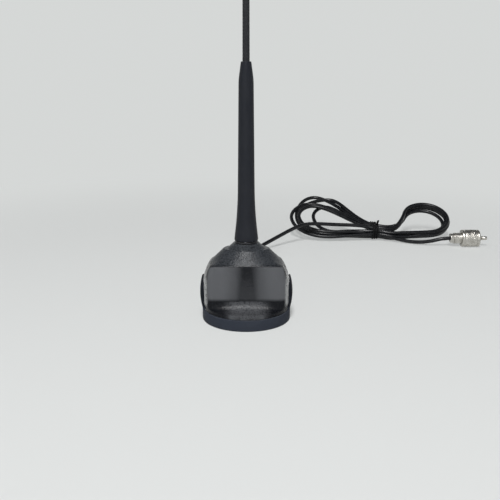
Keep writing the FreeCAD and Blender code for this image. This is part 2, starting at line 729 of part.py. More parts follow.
def cable_hank():
    """Outer form of the tied turns: a lobe each side of a narrow neck, with open middles."""
    half = hank_neck_half_width.value
    lobes = []
    for out, up, radius in ((-left_lobe_out.value, left_lobe_up.value, left_lobe_radius.value),
                            (right_lobe_out.value, right_lobe_up.value, right_lobe_radius.value)):
        side = math.copysign(1, out)
        centre = FreeCAD.Vector(out, up, 0)
        low, high = FreeCAD.Vector(side * half, -half, 0), FreeCAD.Vector(side * half, half, 0)
        touch_low = tangent_point(centre, radius, low, side)
        touch_high = tangent_point(centre, radius, high, -side)
        far = centre + FreeCAD.Vector(side * radius, 0, 0)
        wire = Part.Wire([
            Part.LineSegment(low, touch_low).toShape(), Part.Arc(touch_low, far, touch_high).toShape(),
            Part.LineSegment(touch_high, high).toShape(), Part.LineSegment(high, low).toShape()])
        deep = FreeCAD.Vector(0, 0, hank_thickness.value)
        middle = Part.makeCylinder(radius - lobe_band.value, hank_thickness.value, centre)
        lobes.append(Part.Face(wire).extrude(deep).cut(middle))
    neck = Part.makeBox(2 * half, 2 * half, hank_thickness.value, FreeCAD.Vector(-half, -half, 0))
    made = doc.addObject("Part::Feature", "cable_hank")
    made.Label = "cable_hank"
    made.Shape = lobes[0].fuse([neck, lobes[1]]).removeSplitter()
    made.Placement = hank_frame()
    sub_parts.append(made)


def twist_tie():
    """Two flat wraps round the hank's neck, with the twisted ends standing on top."""
    made = body("twist_tie")
    high = hank_neck_half_width + fit
    thick = hank_thickness + fit
    for name, start in (("left_wrap", -tie_gap / 2 - tie_width), ("right_wrap", tie_gap / 2)):
        wrap = sketch_on(made, name, "YZ_Plane", start)
        outline(wrap, [(-high - tie_wire, -tie_wire), (high + tie_wire, -tie_wire),
                       (high + tie_wire, thick + tie_wire), (-high - tie_wire, thick + tie_wire)])
        outline(wrap, [(-high, -fit), (high, -fit), (high, thick), (-high, thick)])
        made.AllowCompound = True
        pad(made, wrap, tie_width)
    knot = sketch_on(made, "knot", "XY_Plane", thick)
    half = tie_gap / 2 + tie_width / 2
    outline(knot, [(-half, -tie_wire), (half, -tie_wire), (half, tie_wire), (-half, tie_wire)])
    pad(made, knot, tie_wire * 1.5)
    tail = ring(sketch_on(made, "tail", "XY_Plane", thick), tie_tail_radius)
    pad(made, tail, tie_tail)
    made.Placement = hank_frame()


def tail_cable():
    """Coax from the hank's neck along the floor to the plug."""
    height = sleeve_radius.value
    end = plug_across.value
    tube("tail_cable", [
        (152, 249, 6.5), (166, 241, 3.6), (181, 232.5, 2.3), (197, 226, 4),
        (end - 7, plug_back.value, height), (end + 4, plug_back.value, height)],
        cable_radius.value)


# Coax plug

def plug():
    """Plug at the far end: reducer, body, insulator, pin and the coupling sleeve that spins."""
    collar = reducer_collar
    shoulder = collar + barrel_length
    shell_start = shoulder + flange_length
    front = shell_start + shell_length
    seat = collar + reducer_shank + fit
    seat_radius = reducer_shank_radius + fit * 0.5
    shell_bore = shell_radius - shell_wall
    pieces = [
        turned("plug_reducer", [
            (cable_radius + fit * 0.5, ZERO), (reducer_radius, ZERO), (reducer_radius, collar),
            (reducer_shank_radius, collar), (reducer_shank_radius, collar + reducer_shank),
            (cable_radius + fit * 0.5, collar + reducer_shank)]),
        turned("plug_body", [
            (seat_radius, collar), (barrel_radius, collar), (barrel_radius, shoulder),
            (flange_radius, shoulder), (flange_radius, shell_start), (shell_radius, shell_start),
            (shell_radius, front), (shell_bore, front), (shell_bore, shell_start),
            (barrel_bore, shell_start), (barrel_bore, seat), (seat_radius, seat)]),
        turned("plug_insulator", [
            (pin_shank_radius + fit * 0.2, shell_start), (shell_bore - fit * 0.5, shell_start),
            (shell_bore - fit * 0.5, front), (pin_shank_radius + fit * 0.2, front)]),
        turned("plug_pin", [
            (ZERO, front - pin_inside), (pin_shank_radius, front - pin_inside),
            (pin_shank_radius, front), (pin_radius, front), (pin_radius, front + pin_free - pin_round),
            (pin_radius - pin_round, front + pin_free), (ZERO, front + pin_free)],
            {4: (pin_round, -1)}),
        turned("plug_sleeve", [
            (barrel_radius + running_gap, sleeve_start), (sleeve_radius - sleeve_edge, sleeve_start),
            (sleeve_radius, sleeve_start + sleeve_edge),
            (sleeve_radius, sleeve_start + sleeve_length - sleeve_edge),
            (sleeve_radius - sleeve_edge, sleeve_start + sleeve_length),
            (flange_radius + running_gap, sleeve_start + sleeve_length),
            (flange_radius + running_gap, sleeve_start + sleeve_lip),
            (barrel_radius + running_gap, sleeve_start + sleeve_lip)])]
    for piece in pieces:
        place(piece, across=plug_across, back=plug_back, up=sleeve_radius, axis=(0, 1, 0), angle=90)


def ground_tag():
    """Flat tag of the braid, welded on the pole plate beside a post."""
    made = body("ground_tag")
    half = ground_tag_width / 2
    left, right = ground_tag_across - half, ground_tag_across + half
    plan = outline(sketch_on(made, "ground_tag_plan", "XY_Plane", boot_height), [
        (left, post_deep - half), (right, post_deep - half), (right, post_deep + half),
        (left, post_deep + half)])
    pad(made, plan, tag_thickness)


rubber_boot()
housing()
magnet_and_plate()
stud_and_tags()
ground_tag()
mast()
whip()
cable_gland()
lead_cable()
inner_wires()
cable_hank()
twist_tie()
tail_cable()
plug()
doc.recompute()

for item in doc.Objects:
    if "Invalid" in item.State or "Error" in item.State:
        raise RuntimeError(f"{item.Label} did not build: {item.State}")
for part in sub_parts:
    if part.Shape.isNull() or not part.Shape.isValid():
        raise RuntimeError(f"{part.Label} has no valid shape")

os.makedirs("parts", exist_ok=True)
for part in sub_parts:
    part.Shape.exportStep(f"parts/{part.Label}.step")
    print(part.Label, "solids", len(part.Shape.Solids), "volume", round(part.Shape.Volume, 1))
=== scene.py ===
"""CB antenna on a magnetic base: shapes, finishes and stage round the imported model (metres)."""
import math

import bmesh
import bpy
from bpy.props import FloatProperty, FloatVectorProperty, IntProperty, PointerProperty
from mathutils import Matrix, Vector


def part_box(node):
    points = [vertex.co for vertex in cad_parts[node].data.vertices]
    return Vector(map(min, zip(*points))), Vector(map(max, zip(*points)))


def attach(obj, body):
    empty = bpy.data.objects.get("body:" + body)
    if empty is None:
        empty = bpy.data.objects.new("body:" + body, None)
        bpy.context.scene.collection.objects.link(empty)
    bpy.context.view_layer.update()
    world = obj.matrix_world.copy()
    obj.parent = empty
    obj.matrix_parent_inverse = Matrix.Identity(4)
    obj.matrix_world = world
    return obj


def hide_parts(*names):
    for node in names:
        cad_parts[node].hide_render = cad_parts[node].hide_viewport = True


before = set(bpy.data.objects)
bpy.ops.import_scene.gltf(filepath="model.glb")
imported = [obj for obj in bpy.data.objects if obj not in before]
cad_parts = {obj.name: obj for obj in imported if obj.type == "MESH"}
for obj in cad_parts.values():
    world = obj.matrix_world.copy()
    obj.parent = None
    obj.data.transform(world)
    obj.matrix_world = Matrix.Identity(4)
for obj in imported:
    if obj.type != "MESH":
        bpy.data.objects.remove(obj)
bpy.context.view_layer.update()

bl_info = {
    "name": "CB antenna",
    "version": (1, 0, 0),
    "blender": (4, 5, 0),
    "location": "3D View > Sidebar > Antenna",
    "description": "Builds the antenna's base, mast, whip, lead and plug with their finishes",
    "category": "Object",
}

MM = 0.001
BODY = "antenna"
SPIN_BODY = "coupling_sleeve"
MAST_LOW, MAST_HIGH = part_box("mast_tube")
WHIP_LOW, WHIP_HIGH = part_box("whip_sleeve")
WASHER_LOW, WASHER_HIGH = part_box("neck_washer")
REDUCER_LOW, REDUCER_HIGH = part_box("plug_reducer")
PLUG_AXIS = Vector((REDUCER_LOW.x, (REDUCER_LOW.y + REDUCER_HIGH.y) / 2,
                    (REDUCER_LOW.z + REDUCER_HIGH.z) / 2))


# Settings that a user would change

class AntennaStageSettings(bpy.types.PropertyGroup):
    """Camera, floor and lights."""
    lens: FloatProperty(
        name="Lens", description="Focal length of the camera", default=54.72,
        subtype="DISTANCE_CAMERA", unit="CAMERA")
    eye: FloatVectorProperty(
        name="Camera place", description="Where the camera stands", size=3,
        default=(0.0029, -0.5777, 0.2101), subtype="TRANSLATION", unit="LENGTH")
    pitch: FloatProperty(
        name="Camera pitch", description="How far the camera looks down",
        default=math.radians(14.98), subtype="ANGLE", unit="ROTATION")
    floor_colour: FloatVectorProperty(
        name="Floor", description="Colour of the floor and backdrop", size=3,
        default=(0.72, 0.73, 0.725), min=0, max=1, subtype="COLOR")
    backdrop_colour: FloatVectorProperty(
        name="Backdrop", description="Tone of the floor where no lamp reaches", size=3,
        default=(0.668, 0.684, 0.676), min=0, max=1, subtype="COLOR")
    floor_glow: FloatProperty(
        name="Floor glow", description="Share of the floor's tone that shadows don't reach",
        default=0.52, min=0, max=1, subtype="FACTOR")
    softbox_power: FloatProperty(
        name="Softbox", description="Power of the overhead softbox", default=31.0, min=0, unit="POWER")
    fill_power: FloatProperty(
        name="Fill", description="Power of the light beside the camera", default=3.0, min=0, unit="POWER")
    room_level: FloatProperty(
        name="Room", description="Level of the light from the room", default=0.10, min=0)


class AntennaBaseSettings(bpy.types.PropertyGroup):
    """Housing and rubber boot."""
    housing_colour: FloatVectorProperty(
        name="Housing", description="Colour of the grained plastic", size=3,
        default=(0.003, 0.0036, 0.0056), min=0, max=1, subtype="COLOR")
    # Painted reflection: the colour painted on the front panel's fields and foot band, and as a painted
    # highlight on the ledge
    painted_reflection_colour: FloatVectorProperty(
        name="Panel fields", description="Colour of the front panel's satin fields", size=3,
        default=(0.091, 0.094, 0.101), min=0, max=1, subtype="COLOR")
    boot_colour: FloatVectorProperty(
        name="Boot", description="Colour of the rubber boot", size=3,
        default=(0.027, 0.032, 0.044), min=0, max=1, subtype="COLOR")
    grain_size: FloatProperty(
        name="Grain", description="Size of the moulded grain", default=1.2 * MM, min=0.1 * MM, unit="LENGTH")
    edge: FloatProperty(
        name="Edge", description="How far the moulded edges are rounded", default=0.6 * MM,
        min=0.1 * MM, unit="LENGTH")


class AntennaMastSettings(bpy.types.PropertyGroup):
    """Mast and whip."""
    mast_colour: FloatVectorProperty(
        name="Mast", description="Colour of the satin mast", size=3,
        default=(0.014, 0.0155, 0.020), min=0, max=1, subtype="COLOR")
    sleeve_colour: FloatVectorProperty(
        name="Sleeve", description="Colour of the whip's sleeve", size=3,
        default=(0.020, 0.021, 0.023), min=0, max=1, subtype="COLOR")
    rib_pitch: FloatProperty(
        name="Rib pitch", description="Rise of the wound ribs in one turn", default=2.55 * MM,
        min=0.5 * MM, unit="LENGTH")
    rib_height: FloatProperty(
        name="Rib height", description="How far the wound ribs stand out", default=0.11 * MM,
        min=0, unit="LENGTH")


class AntennaLeadSettings(bpy.types.PropertyGroup):
    """Coax lead, its hank and the tie."""
    diameter: FloatProperty(
        name="Diameter", description="Outside diameter of the coax", default=4.0 * MM, min=MM, unit="LENGTH")
    length: FloatProperty(
        name="Length", description="Whole length of the coax", default=2.6, min=0.5, unit="LENGTH")
    jacket_colour: FloatVectorProperty(
        name="Jacket", description="Colour of the coax jacket", size=3,
        default=(0.005, 0.0055, 0.007), min=0, max=1, subtype="COLOR")
    tie_colour: FloatVectorProperty(
        name="Tie", description="Colour of the twist tie", size=3,
        default=(0.006, 0.006, 0.0065), min=0, max=1, subtype="COLOR")
    tie_width: FloatProperty(
        name="Tie width", description="Width of the twist tie's strip", default=2.0 * MM,
        min=MM, unit="LENGTH")


class AntennaPlugSettings(bpy.types.PropertyGroup):
    """Coax plug."""
    knurls: IntProperty(name="Knurls", description="Knurls round the coupling sleeve", default=40, min=8)
    knurl_depth: FloatProperty(
        name="Knurl depth", description="Depth of the knurling", default=0.28 * MM, min=0, unit="LENGTH")


# Meshes

MERGE_DISTANCE = 1e-7
SHORTEST_SIDE = 1e-9
MOST_CUT = 0.45
ROUND_STEPS = 5


def lerp(start, end, share):
    """A value part of the way from one to another."""
    return start + (end - start) * share


def smooth(mesh):
    """Smooth shading on every face."""
    for face in mesh.polygons:
        face.use_smooth = True
    return mesh


def grid_mesh(name, rows, closed=True):
    """Mesh of quads between rows of points; points that coincide are merged."""
    mesh = bpy.data.meshes.new(name)
    count = len(rows[0])
    points = [point for row in rows for point in row]
    faces = []
    for level in range(len(rows) - 1):
        for index in range(count if closed else count - 1):
            follow = (index + 1) % count
            low, high = level * count, (level + 1) * count
            faces.append((low + index, low + follow, high + follow, high + index))
    mesh.from_pydata(points, [], faces)
    work = bmesh.new()
    work.from_mesh(mesh)
    bmesh.ops.remove_doubles(work, verts=work.verts, dist=MERGE_DISTANCE)
    bmesh.ops.recalc_face_normals(work, faces=work.faces)
    work.to_mesh(mesh)
    work.free()
    return smooth(mesh)


def join_meshes(name, meshes):
    """One mesh from several."""
    work = bmesh.new()
    for mesh in meshes:
        work.from_mesh(mesh)
        bpy.data.meshes.remove(mesh)
    joined = bpy.data.meshes.new(name)
    work.to_mesh(joined)
    work.free()
    return smooth(joined)


def rounded(points, cuts):
    """A line of points with its corners rounded; cuts gives the length taken off at each corner."""
    line = [points[0]]
    for before, corner, after, cut in zip(points, points[1:], points[2:], cuts[1:]):
        if cut <= 0:
            line.append(corner)
            continue
        back, ahead = before - corner, after - corner
        start = corner + back * min(cut / max(back.length, SHORTEST_SIDE), MOST_CUT)
        end = corner + ahead * min(cut / max(ahead.length, SHORTEST_SIDE), MOST_CUT)
        for step in range(ROUND_STEPS):
            share = step / (ROUND_STEPS - 1)
            line.append(start.lerp(corner, share).lerp(corner.lerp(end, share), share))
    line.append(points[-1])
    return line


def spun(name, profile, steps, place=None, shape=None):
    """Mesh turned about Z from (radius, height) points; shape may change the radius by angle and height."""
    rows = []
    for radius, height in profile:
        row = []
        for step in range(steps):
            angle = 2 * math.pi * step / steps
            reach = shape(radius, angle, height) if shape else radius
            point = Vector((reach * math.cos(angle), reach * math.sin(angle), height))
            row.append(place @ point if place else point)
        rows.append(row)
    return grid_mesh(name, rows)


def soft_profile(corners, cuts):
    """Rounded (radius, height) profile in metres from corners in millimetres."""
    points = [Vector((radius, height, 0)) * MM for radius, height in corners]
    return [(point.x, point.y) for point in rounded(points, [cut * MM for cut in cuts])]


def add_piece(name, mesh, finish, body, nodes):
    """A piece in the scene, on its body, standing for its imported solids."""
    piece = bpy.data.objects.new(name, mesh)
    bpy.context.scene.collection.objects.link(piece)
    piece.data.materials.append(finish)
    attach(piece, body)
    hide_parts(*nodes)
    return piece


def dress(names, finish):
    """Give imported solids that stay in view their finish."""
    for name in names:
        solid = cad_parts[name]
        if not solid.data.materials:
            solid.data.materials.append(finish)
        for holder in solid.material_slots:
            holder.material = finish


# Shader groups shared by the finishes

# Lines that turning leaves in a metre
LATHE_LINES = 9000.0


def start_group(name, inputs, outputs):
    """An empty shader group with named sockets."""
    tree = bpy.data.node_groups.new(name, "ShaderNodeTree")
    tree.interface.new_socket(name="Vector", in_out="INPUT", socket_type="NodeSocketVector")
    for label, kind, default in inputs:
        socket = tree.interface.new_socket(name=label, in_out="INPUT", socket_type=kind)
        socket.default_value = default
    for label in outputs:
        tree.interface.new_socket(name=label, in_out="OUTPUT", socket_type="NodeSocketFloat")
    enter, leave = tree.nodes.new("NodeGroupInput"), tree.nodes.new("NodeGroupOutput")
    return tree, enter.outputs, leave.inputs


def maths(tree, operation, first, second=None):
    """A maths node fed by sockets or numbers."""
    node = tree.nodes.new("ShaderNodeMath")
    node.operation = operation
    for socket, value in zip(node.inputs, (first, second)):
        if value is None:
            continue
        if isinstance(value, (int, float)):
            socket.default_value = value
        else:
            tree.links.new(value, socket)
    return node.outputs[0]


def product(tree, *factors):
    """Sockets or numbers multiplied together."""
    whole = factors[0]
    for factor in factors[1:]:
        whole = maths(tree, "MULTIPLY", whole, factor)
    return whole


def remap(tree, value, start, end, low=0.0, high=1.0):
    """A smooth change from low to high while a value goes from start to end."""
    node = tree.nodes.new("ShaderNodeMapRange")
    node.interpolation_type = "SMOOTHSTEP"
    tree.links.new(value, node.inputs["Value"])
    for label, number in (("From Min", start), ("From Max", end), ("To Min", low), ("To Max", high)):
        node.inputs[label].default_value = number
    return node.outputs["Result"]


def noise(tree, vector, scale, detail, roughness=0.5):
    """Noise at a scale given as a socket or a number."""
    node = tree.nodes.new("ShaderNodeTexNoise")
    tree.links.new(vector, node.inputs["Vector"])
    if isinstance(scale, (int, float)):
        node.inputs["Scale"].default_value = scale
    else:
        tree.links.new(scale, node.inputs["Scale"])
    node.inputs["Detail"].default_value = detail
    node.inputs["Roughness"].default_value = roughness
    return node.outputs[0]


def make_grain_group():
    """Spark-eroded mould grain: low pebbles with finer pits between them."""
    tree, enter, leave = start_group(
        "Moulded grain", [("Size", "NodeSocketFloat", 0.4 * MM)], ["Height", "Fleck"])
    scale = maths(tree, "DIVIDE", 1.0, enter["Size"])
    cells = tree.nodes.new("ShaderNodeTexVoronoi")
    cells.feature = "SMOOTH_F1"
    tree.links.new(enter["Vector"], cells.inputs["Vector"])
    tree.links.new(scale, cells.inputs["Scale"])
    pits = noise(tree, enter["Vector"], product(tree, scale, 1.7), detail=3.0, roughness=0.6)
    height = maths(tree, "ADD", product(tree, cells.outputs["Distance"], 0.6), product(tree, pits, 0.8))
    tree.links.new(height, leave["Height"])
    wide = noise(tree, enter["Vector"], product(tree, scale, 0.8), detail=1.0)
    tree.links.new(remap(tree, wide, 0.56, 0.72), leave["Fleck"])


def make_smudge_group():
    """Handling marks: broad cloudy patches that dull or shine a surface."""
    tree, enter, leave = start_group("Handling marks", [("Size", "NodeSocketFloat", 20 * MM)], ["Mask"])
    scale = maths(tree, "DIVIDE", 1.0, enter["Size"])
    cloud = noise(tree, enter["Vector"], scale, detail=5.0, roughness=0.62)
    tree.links.new(remap(tree, cloud, 0.36, 0.68), leave["Mask"])


def make_dust_group():
    """Fine dust that settles on what faces up."""
    tree, enter, leave = start_group("Settled dust", [("Amount", "NodeSocketFloat", 0.3)], ["Mask"])
    surface = tree.nodes.new("ShaderNodeNewGeometry")
    parts = tree.nodes.new("ShaderNodeSeparateXYZ")
    tree.links.new(surface.outputs["Normal"], parts.inputs["Vector"])
    upward = remap(tree, parts.outputs["Z"], 0.25, 0.95)
    fine = noise(tree, enter["Vector"], 1900.0, detail=2.0, roughness=0.7)
    specks = remap(tree, fine, 0.5, 0.72, low=0.25)
    broad = noise(tree, enter["Vector"], 70.0, detail=3.0)
    clouds = remap(tree, broad, 0.3, 0.7, low=0.35)
    tree.links.new(product(tree, upward, specks, clouds, enter["Amount"]), leave["Mask"])


def make_lathe_group():
    """Fine lines left by turning, round an axis that the stretch picks out."""
    tree, enter, leave = start_group(
        "Turned lines", [("Stretch", "NodeSocketVector", (0.0, 0.0, LATHE_LINES))], ["Height", "Tone"])
    scaled = tree.nodes.new("ShaderNodeVectorMath")
    scaled.operation = "MULTIPLY"
    tree.links.new(enter["Vector"], scaled.inputs[0])
    tree.links.new(enter["Stretch"], scaled.inputs[1])
    tree.links.new(noise(tree, scaled.outputs[0], 1.0, detail=3.0, roughness=0.7), leave["Height"])
    tone = noise(tree, enter["Vector"], 260.0, detail=3.0)
    tree.links.new(remap(tree, tone, 0.3, 0.7), leave["Tone"])


# Finishes

WORN_GREY = (0.32, 0.32, 0.31)


class Finish:
    """One material under construction: its shader, its place texture and the shared groups."""

    def __init__(self, name, metallic=0.0, specular=0.5):
        self.material = bpy.data.materials.new(name)
        self.material.use_nodes = True
        self.tree = self.material.node_tree
        self.shader = self.tree.nodes["Principled BSDF"]
        self.shader.inputs["Metallic"].default_value = metallic
        self.shader.inputs["Specular IOR Level"].default_value = specular
        self.place = self.tree.nodes.new("ShaderNodeTexCoord").outputs["Object"]

    def group(self, name, **values):
        """A shared group placed in this material, with its own values."""
        node = self.tree.nodes.new("ShaderNodeGroup")
        node.node_tree = bpy.data.node_groups[name]
        self.tree.links.new(self.place, node.inputs["Vector"])
        for label, value in values.items():
            node.inputs[label].default_value = value
        return node.outputs

    def axes(self):
        """Places on the object: across, deep and up."""
        node = self.tree.nodes.new("ShaderNodeSeparateXYZ")
        self.tree.links.new(self.place, node.inputs["Vector"])
        return tuple(node.outputs[axis] for axis in "XYZ")

    def along(self, place, start, end, low=0.0, high=1.0):
        """A smooth change between two places in millimetres."""
        return remap(self.tree, place, start * MM, end * MM, low, high)

    def mix(self, mask, first, second):
        """A colour between two, by a mask."""
        node = self.tree.nodes.new("ShaderNodeMix")
        node.data_type = "RGBA"
        self.tree.links.new(mask, node.inputs["Factor"])
        for socket, value in ((node.inputs[6], first), (node.inputs[7], second)):
            if isinstance(value, bpy.types.NodeSocket):
                self.tree.links.new(value, socket)
            else:
                socket.default_value = (*value, 1.0)
        return node.outputs[2]

    def worn(self, marks, colour, share):
        """A colour that handling turns a little way to grey."""
        return self.mix(marks["Mask"], colour, paler(colour, share))

    def dusted(self, colour, amount, tone):
        """A colour with dust of a given tone on it."""
        return self.mix(self.group("Settled dust", Amount=amount)["Mask"], colour, tone)

    def colour(self, socket):
        """The finished colour."""
        self.tree.links.new(socket, self.shader.inputs["Base Color"])

    def rough(self, mask, low, high):
        """Roughness that follows a mask."""
        self.tree.links.new(remap(self.tree, mask, 0.0, 1.0, low, high), self.shader.inputs["Roughness"])

    def bump(self, height, strength, distance):
        """A bump on top of any made before; its strength is a number or a mask."""
        node = self.tree.nodes.new("ShaderNodeBump")
        node.inputs["Distance"].default_value = distance
        if isinstance(strength, float):
            node.inputs["Strength"].default_value = strength
        else:
            self.tree.links.new(strength, node.inputs["Strength"])
        self.tree.links.new(height, node.inputs["Height"])
        normal = self.shader.inputs["Normal"]
        if normal.is_linked:
            self.tree.links.new(normal.links[0].from_socket, node.inputs["Normal"])
        self.tree.links.new(node.outputs["Normal"], normal)


def paler(colour, share):
    """A colour moved part of the way to grey."""
    return tuple(lerp(value, goal, share) for value, goal in zip(colour, WORN_GREY))


# Where the housing's colour changes, in millimetres from the base's centre: painted reflection on the front
# panel's fields and foot band, a painted highlight on the ledge, painted sheen along the upright corners and
# painted light on the roof's top
FIELD_SHIFT = 0.7
FIELD_CORNER_ACROSS, FIELD_CORNER_UP = 25.8, 42.0
FIELD_EDGE, FIELD_BOTTOM = (5.5, 4.2), (18.6, 22.2)
FRONT_FACE = (-15.8, -17.4)
STRIPE, STRIPE_SPREAD, STRIPE_FADE = (1.0, 10.5), (6.0, 20.0), (46.0, 21.0)
BAND_ACROSS, BAND_DEEP, BAND_UP = (18.0, 12.0), (-29.5, -32.0), (8.4, 9.1)
LEDGE_ACROSS, LEDGE_DEEP, LEDGE_UP = (20.0, 9.0), (-17.4, -19.2), (20.4, 18.0)
# Where painted sheen lies along the housing's upright corners
CORNER_ACROSS, CORNER_DEEP = (29.4, 31.6), (9.0, 10.0)
CORNER_BOTTOM, CORNER_TOP = (12.5, 17.0), (44.0, 32.0)
# Heights over which the roof's top is painted lighter as painted light, and the colour of that painted light
ROOF_EDGE = (46.6, 48.6)
ROOF_PAINTED_LIGHT = (0.042, 0.046, 0.052)
# Colour of the painted sheen on the corners' grain tips
PAINTED_CORNER_SHEEN = (0.35, 0.355, 0.355)


def painted_reflection_masks(made, axes, speckle):
    """Painted reflection on the front panel's two fields, by itself and together with the painted reflection
    on the foot band and the painted highlight on the ledge.
    """
    tree = made.tree
    across, deep, up = axes
    aside = maths(tree, "ABSOLUTE", maths(tree, "SUBTRACT", across, FIELD_SHIFT * MM))
    beside = maths(tree, "MAXIMUM", maths(tree, "SUBTRACT", aside, FIELD_CORNER_ACROSS * MM), 0.0)
    above = maths(tree, "MAXIMUM", maths(tree, "SUBTRACT", up, FIELD_CORNER_UP * MM), 0.0)
    squares = maths(tree, "ADD", product(tree, beside, beside), product(tree, above, above))
    inside = product(tree, made.along(maths(tree, "SQRT", squares), *FIELD_EDGE),
                     made.along(up, *FIELD_BOTTOM))
    # Painted reflection: darker down the panel's middle, lighter towards the sides and towards the bottom, on
    # the front face only
    lit = maths(tree, "ADD", made.along(aside, *STRIPE, high=0.65),
                made.along(aside, *STRIPE_SPREAD, high=0.35))
    lit = maths(tree, "MAXIMUM", lit, made.along(up, *STRIPE_FADE, low=0.06, high=0.32))
    lit = product(tree, lit, made.along(deep, *FRONT_FACE))
    panel = product(tree, lit, inside)
    # Painted reflection on the foot band, as two lobes either side of the darker middle
    band = product(tree, lit, made.along(aside, *BAND_ACROSS), made.along(deep, *BAND_DEEP),
                   made.along(up, *BAND_UP))
    # Painted highlight on the middle of the ledge, speckled by the grain
    ledge = product(tree, made.along(aside, *LEDGE_ACROSS, high=0.45), made.along(up, *LEDGE_UP),
                    made.along(deep, *LEDGE_DEEP), speckle)
    return panel, maths(tree, "MAXIMUM", panel, maths(tree, "MAXIMUM", band, ledge))


def painted_corner_sheen_mask(made, axes, tips):
    """Painted sheen on the grain tips along the housing's four upright corners."""
    tree = made.tree
    across, deep, up = axes
    return product(tree, made.along(maths(tree, "ABSOLUTE", deep), *CORNER_DEEP),
                   made.along(maths(tree, "ABSOLUTE", across), *CORNER_ACROSS),
                   made.along(up, *CORNER_BOTTOM), made.along(up, *CORNER_TOP), tips)


def housing_finish(settings):
    """Grained black plastic, with painted reflection on the front panel's fields and foot band, a painted
    highlight on the ledge, painted light on the roof's top and painted sheen on the grain tips along the
    upright corners.
    """
    made = Finish("Grained housing plastic", specular=0.13)
    made.shader.inputs["Sheen Weight"].default_value = 0.35
    made.shader.inputs["Sheen Roughness"].default_value = 0.22
    tree = made.tree
    grain = made.group("Moulded grain", Size=settings.grain_size)
    marks = made.group("Handling marks", Size=16 * MM)
    axes = made.axes()
    speckle = remap(tree, grain["Height"], 0.42, 0.72, low=0.35, high=1.5)
    tips = remap(tree, grain["Height"], 0.49, 0.64, low=0.08)
    panel, painted_reflections = painted_reflection_masks(made, axes, speckle)
    # Painted light: the roof above its edge is painted lighter, speckled by the grain
    roof = product(tree, made.along(axes[2], *ROOF_EDGE, high=0.56), speckle)
    body = made.worn(marks, settings.housing_colour, 0.006)
    body = made.mix(roof, body, ROOF_PAINTED_LIGHT)
    body = made.mix(product(tree, grain["Fleck"], 0.5), body, paler(settings.housing_colour, 0.035))
    # Painted reflection on the panel's fields and foot band, and painted highlight on the ledge
    body = made.mix(painted_reflections, body, settings.painted_reflection_colour)
    # Painted sheen: pale grain tips along the upright corners
    body = made.mix(painted_corner_sheen_mask(made, axes, tips), body, PAINTED_CORNER_SHEEN)
    made.colour(made.dusted(body, amount=0.015, tone=(0.24, 0.24, 0.23)))
    made.rough(maths(tree, "MAXIMUM", panel, product(tree, marks["Mask"], 0.35)), low=0.24, high=0.5)
    bare = maths(tree, "SUBTRACT", 1.0, product(tree, panel, 0.9))
    made.bump(grain["Height"], strength=bare, distance=0.2 * MM)
    return made.material


def rubber_finish(name, colour, painted_shade_heights=None):
    """Smooth soft rubber with a dull bloom and a little dust; given heights, it is painted darker above them
    as painted shade.
    """
    made = Finish(name, specular=0.1)
    marks = made.group("Handling marks", Size=22 * MM)
    grain = made.group("Moulded grain", Size=0.9 * MM)
    body = made.worn(marks, colour, 0.012)
    if painted_shade_heights:
        up = made.axes()[2]
        # Painted shade: above these heights the ears are darkened to three tenths of the rubber's colour
        body = made.mix(made.along(up, *painted_shade_heights), body, tuple(0.3 * value for value in colour))
    made.colour(made.dusted(body, amount=0.16, tone=(0.27, 0.27, 0.27)))
    made.rough(marks["Mask"], low=0.6, high=0.75)
    made.bump(grain["Height"], strength=0.10, distance=0.05 * MM)
    made.bump(marks["Mask"], strength=0.08, distance=0.12 * MM)
    return made.material


def satin_finish(name, colour, low, high, ripple):
    """Satin plastic with a faint moulded ripple and rubbed patches."""
    made = Finish(name, specular=0.1)
    marks = made.group("Handling marks", Size=30 * MM)
    grain = made.group("Moulded grain", Size=ripple)
    made.colour(made.dusted(made.worn(marks, colour, 0.012), amount=0.1, tone=(0.28, 0.28, 0.28)))
    made.rough(marks["Mask"], low, high)
    made.bump(grain["Height"], strength=0.10, distance=0.06 * MM)
    return made.material


def jacket_finish(colour):
    """Extruded black coax jacket with slight scuffs."""
    made = Finish("Coax jacket", specular=0.28)
    marks = made.group("Handling marks", Size=12 * MM)
    grain = made.group("Moulded grain", Size=0.7 * MM)
    made.colour(made.worn(marks, colour, 0.015))
    made.rough(marks["Mask"], low=0.26, high=0.36)
    made.bump(grain["Height"], strength=0.03, distance=0.03 * MM)
    return made.material


def metal_finish(name, colour, tarnish, roughness, stretch=(0.0, 0.0, LATHE_LINES)):
    """Turned and plated metal with fine lathe lines and uneven tarnish."""
    made = Finish(name, metallic=1.0)
    lines = made.group("Turned lines", Stretch=stretch)
    marks = made.group("Handling marks", Size=6 * MM)
    toned = made.mix(lines["Tone"], colour, tarnish)
    made.colour(made.mix(product(made.tree, marks["Mask"], 0.3), toned, tarnish))
    made.rough(lines["Tone"], roughness * 0.8, roughness * 1.5)
    made.bump(lines["Height"], strength=0.18, distance=0.02 * MM)
    return made.material


def plain_finish(name, colour, second, low, high, size=0.8 * MM):
    """Fired, moulded or drawn stock: two close tones in its grain."""
    made = Finish(name)
    grain = made.group("Moulded grain", Size=size)
    marks = made.group("Handling marks", Size=10 * MM)
    made.colour(made.mix(product(made.tree, grain["Fleck"], marks["Mask"]), colour, second))
    made.rough(marks["Mask"], low, high)
    made.bump(grain["Height"], strength=0.2, distance=0.05 * MM)
    return made.material


# Stage, in metres

SENSOR_WIDTH = 36.0
CLIP_START = 0.01
FLOOR_RINGS = (0.0, 0.3, 0.7, 1.1)
FLOOR_FLAT, FLOOR_BEND, FLOOR_TOP = 1.7, 0.5, 1.4
FLOOR_STEPS = 64
GLOW_NEAR, GLOW_FAR = 0.25, 0.7
LAMP_TARGET = Vector((0.0, 0.0, 0.04))
SOFTBOX_PLACE, SOFTBOX_SIZE = Vector((-0.06, -0.94, 1.5)), (0.20, 0.70)
FILL_PLACE, FILL_SIZE = Vector((-0.45, -1.6, 0.5)), (1.2, 0.8)
ROOM_COLOUR = (0.93, 0.96, 1.0, 1.0)


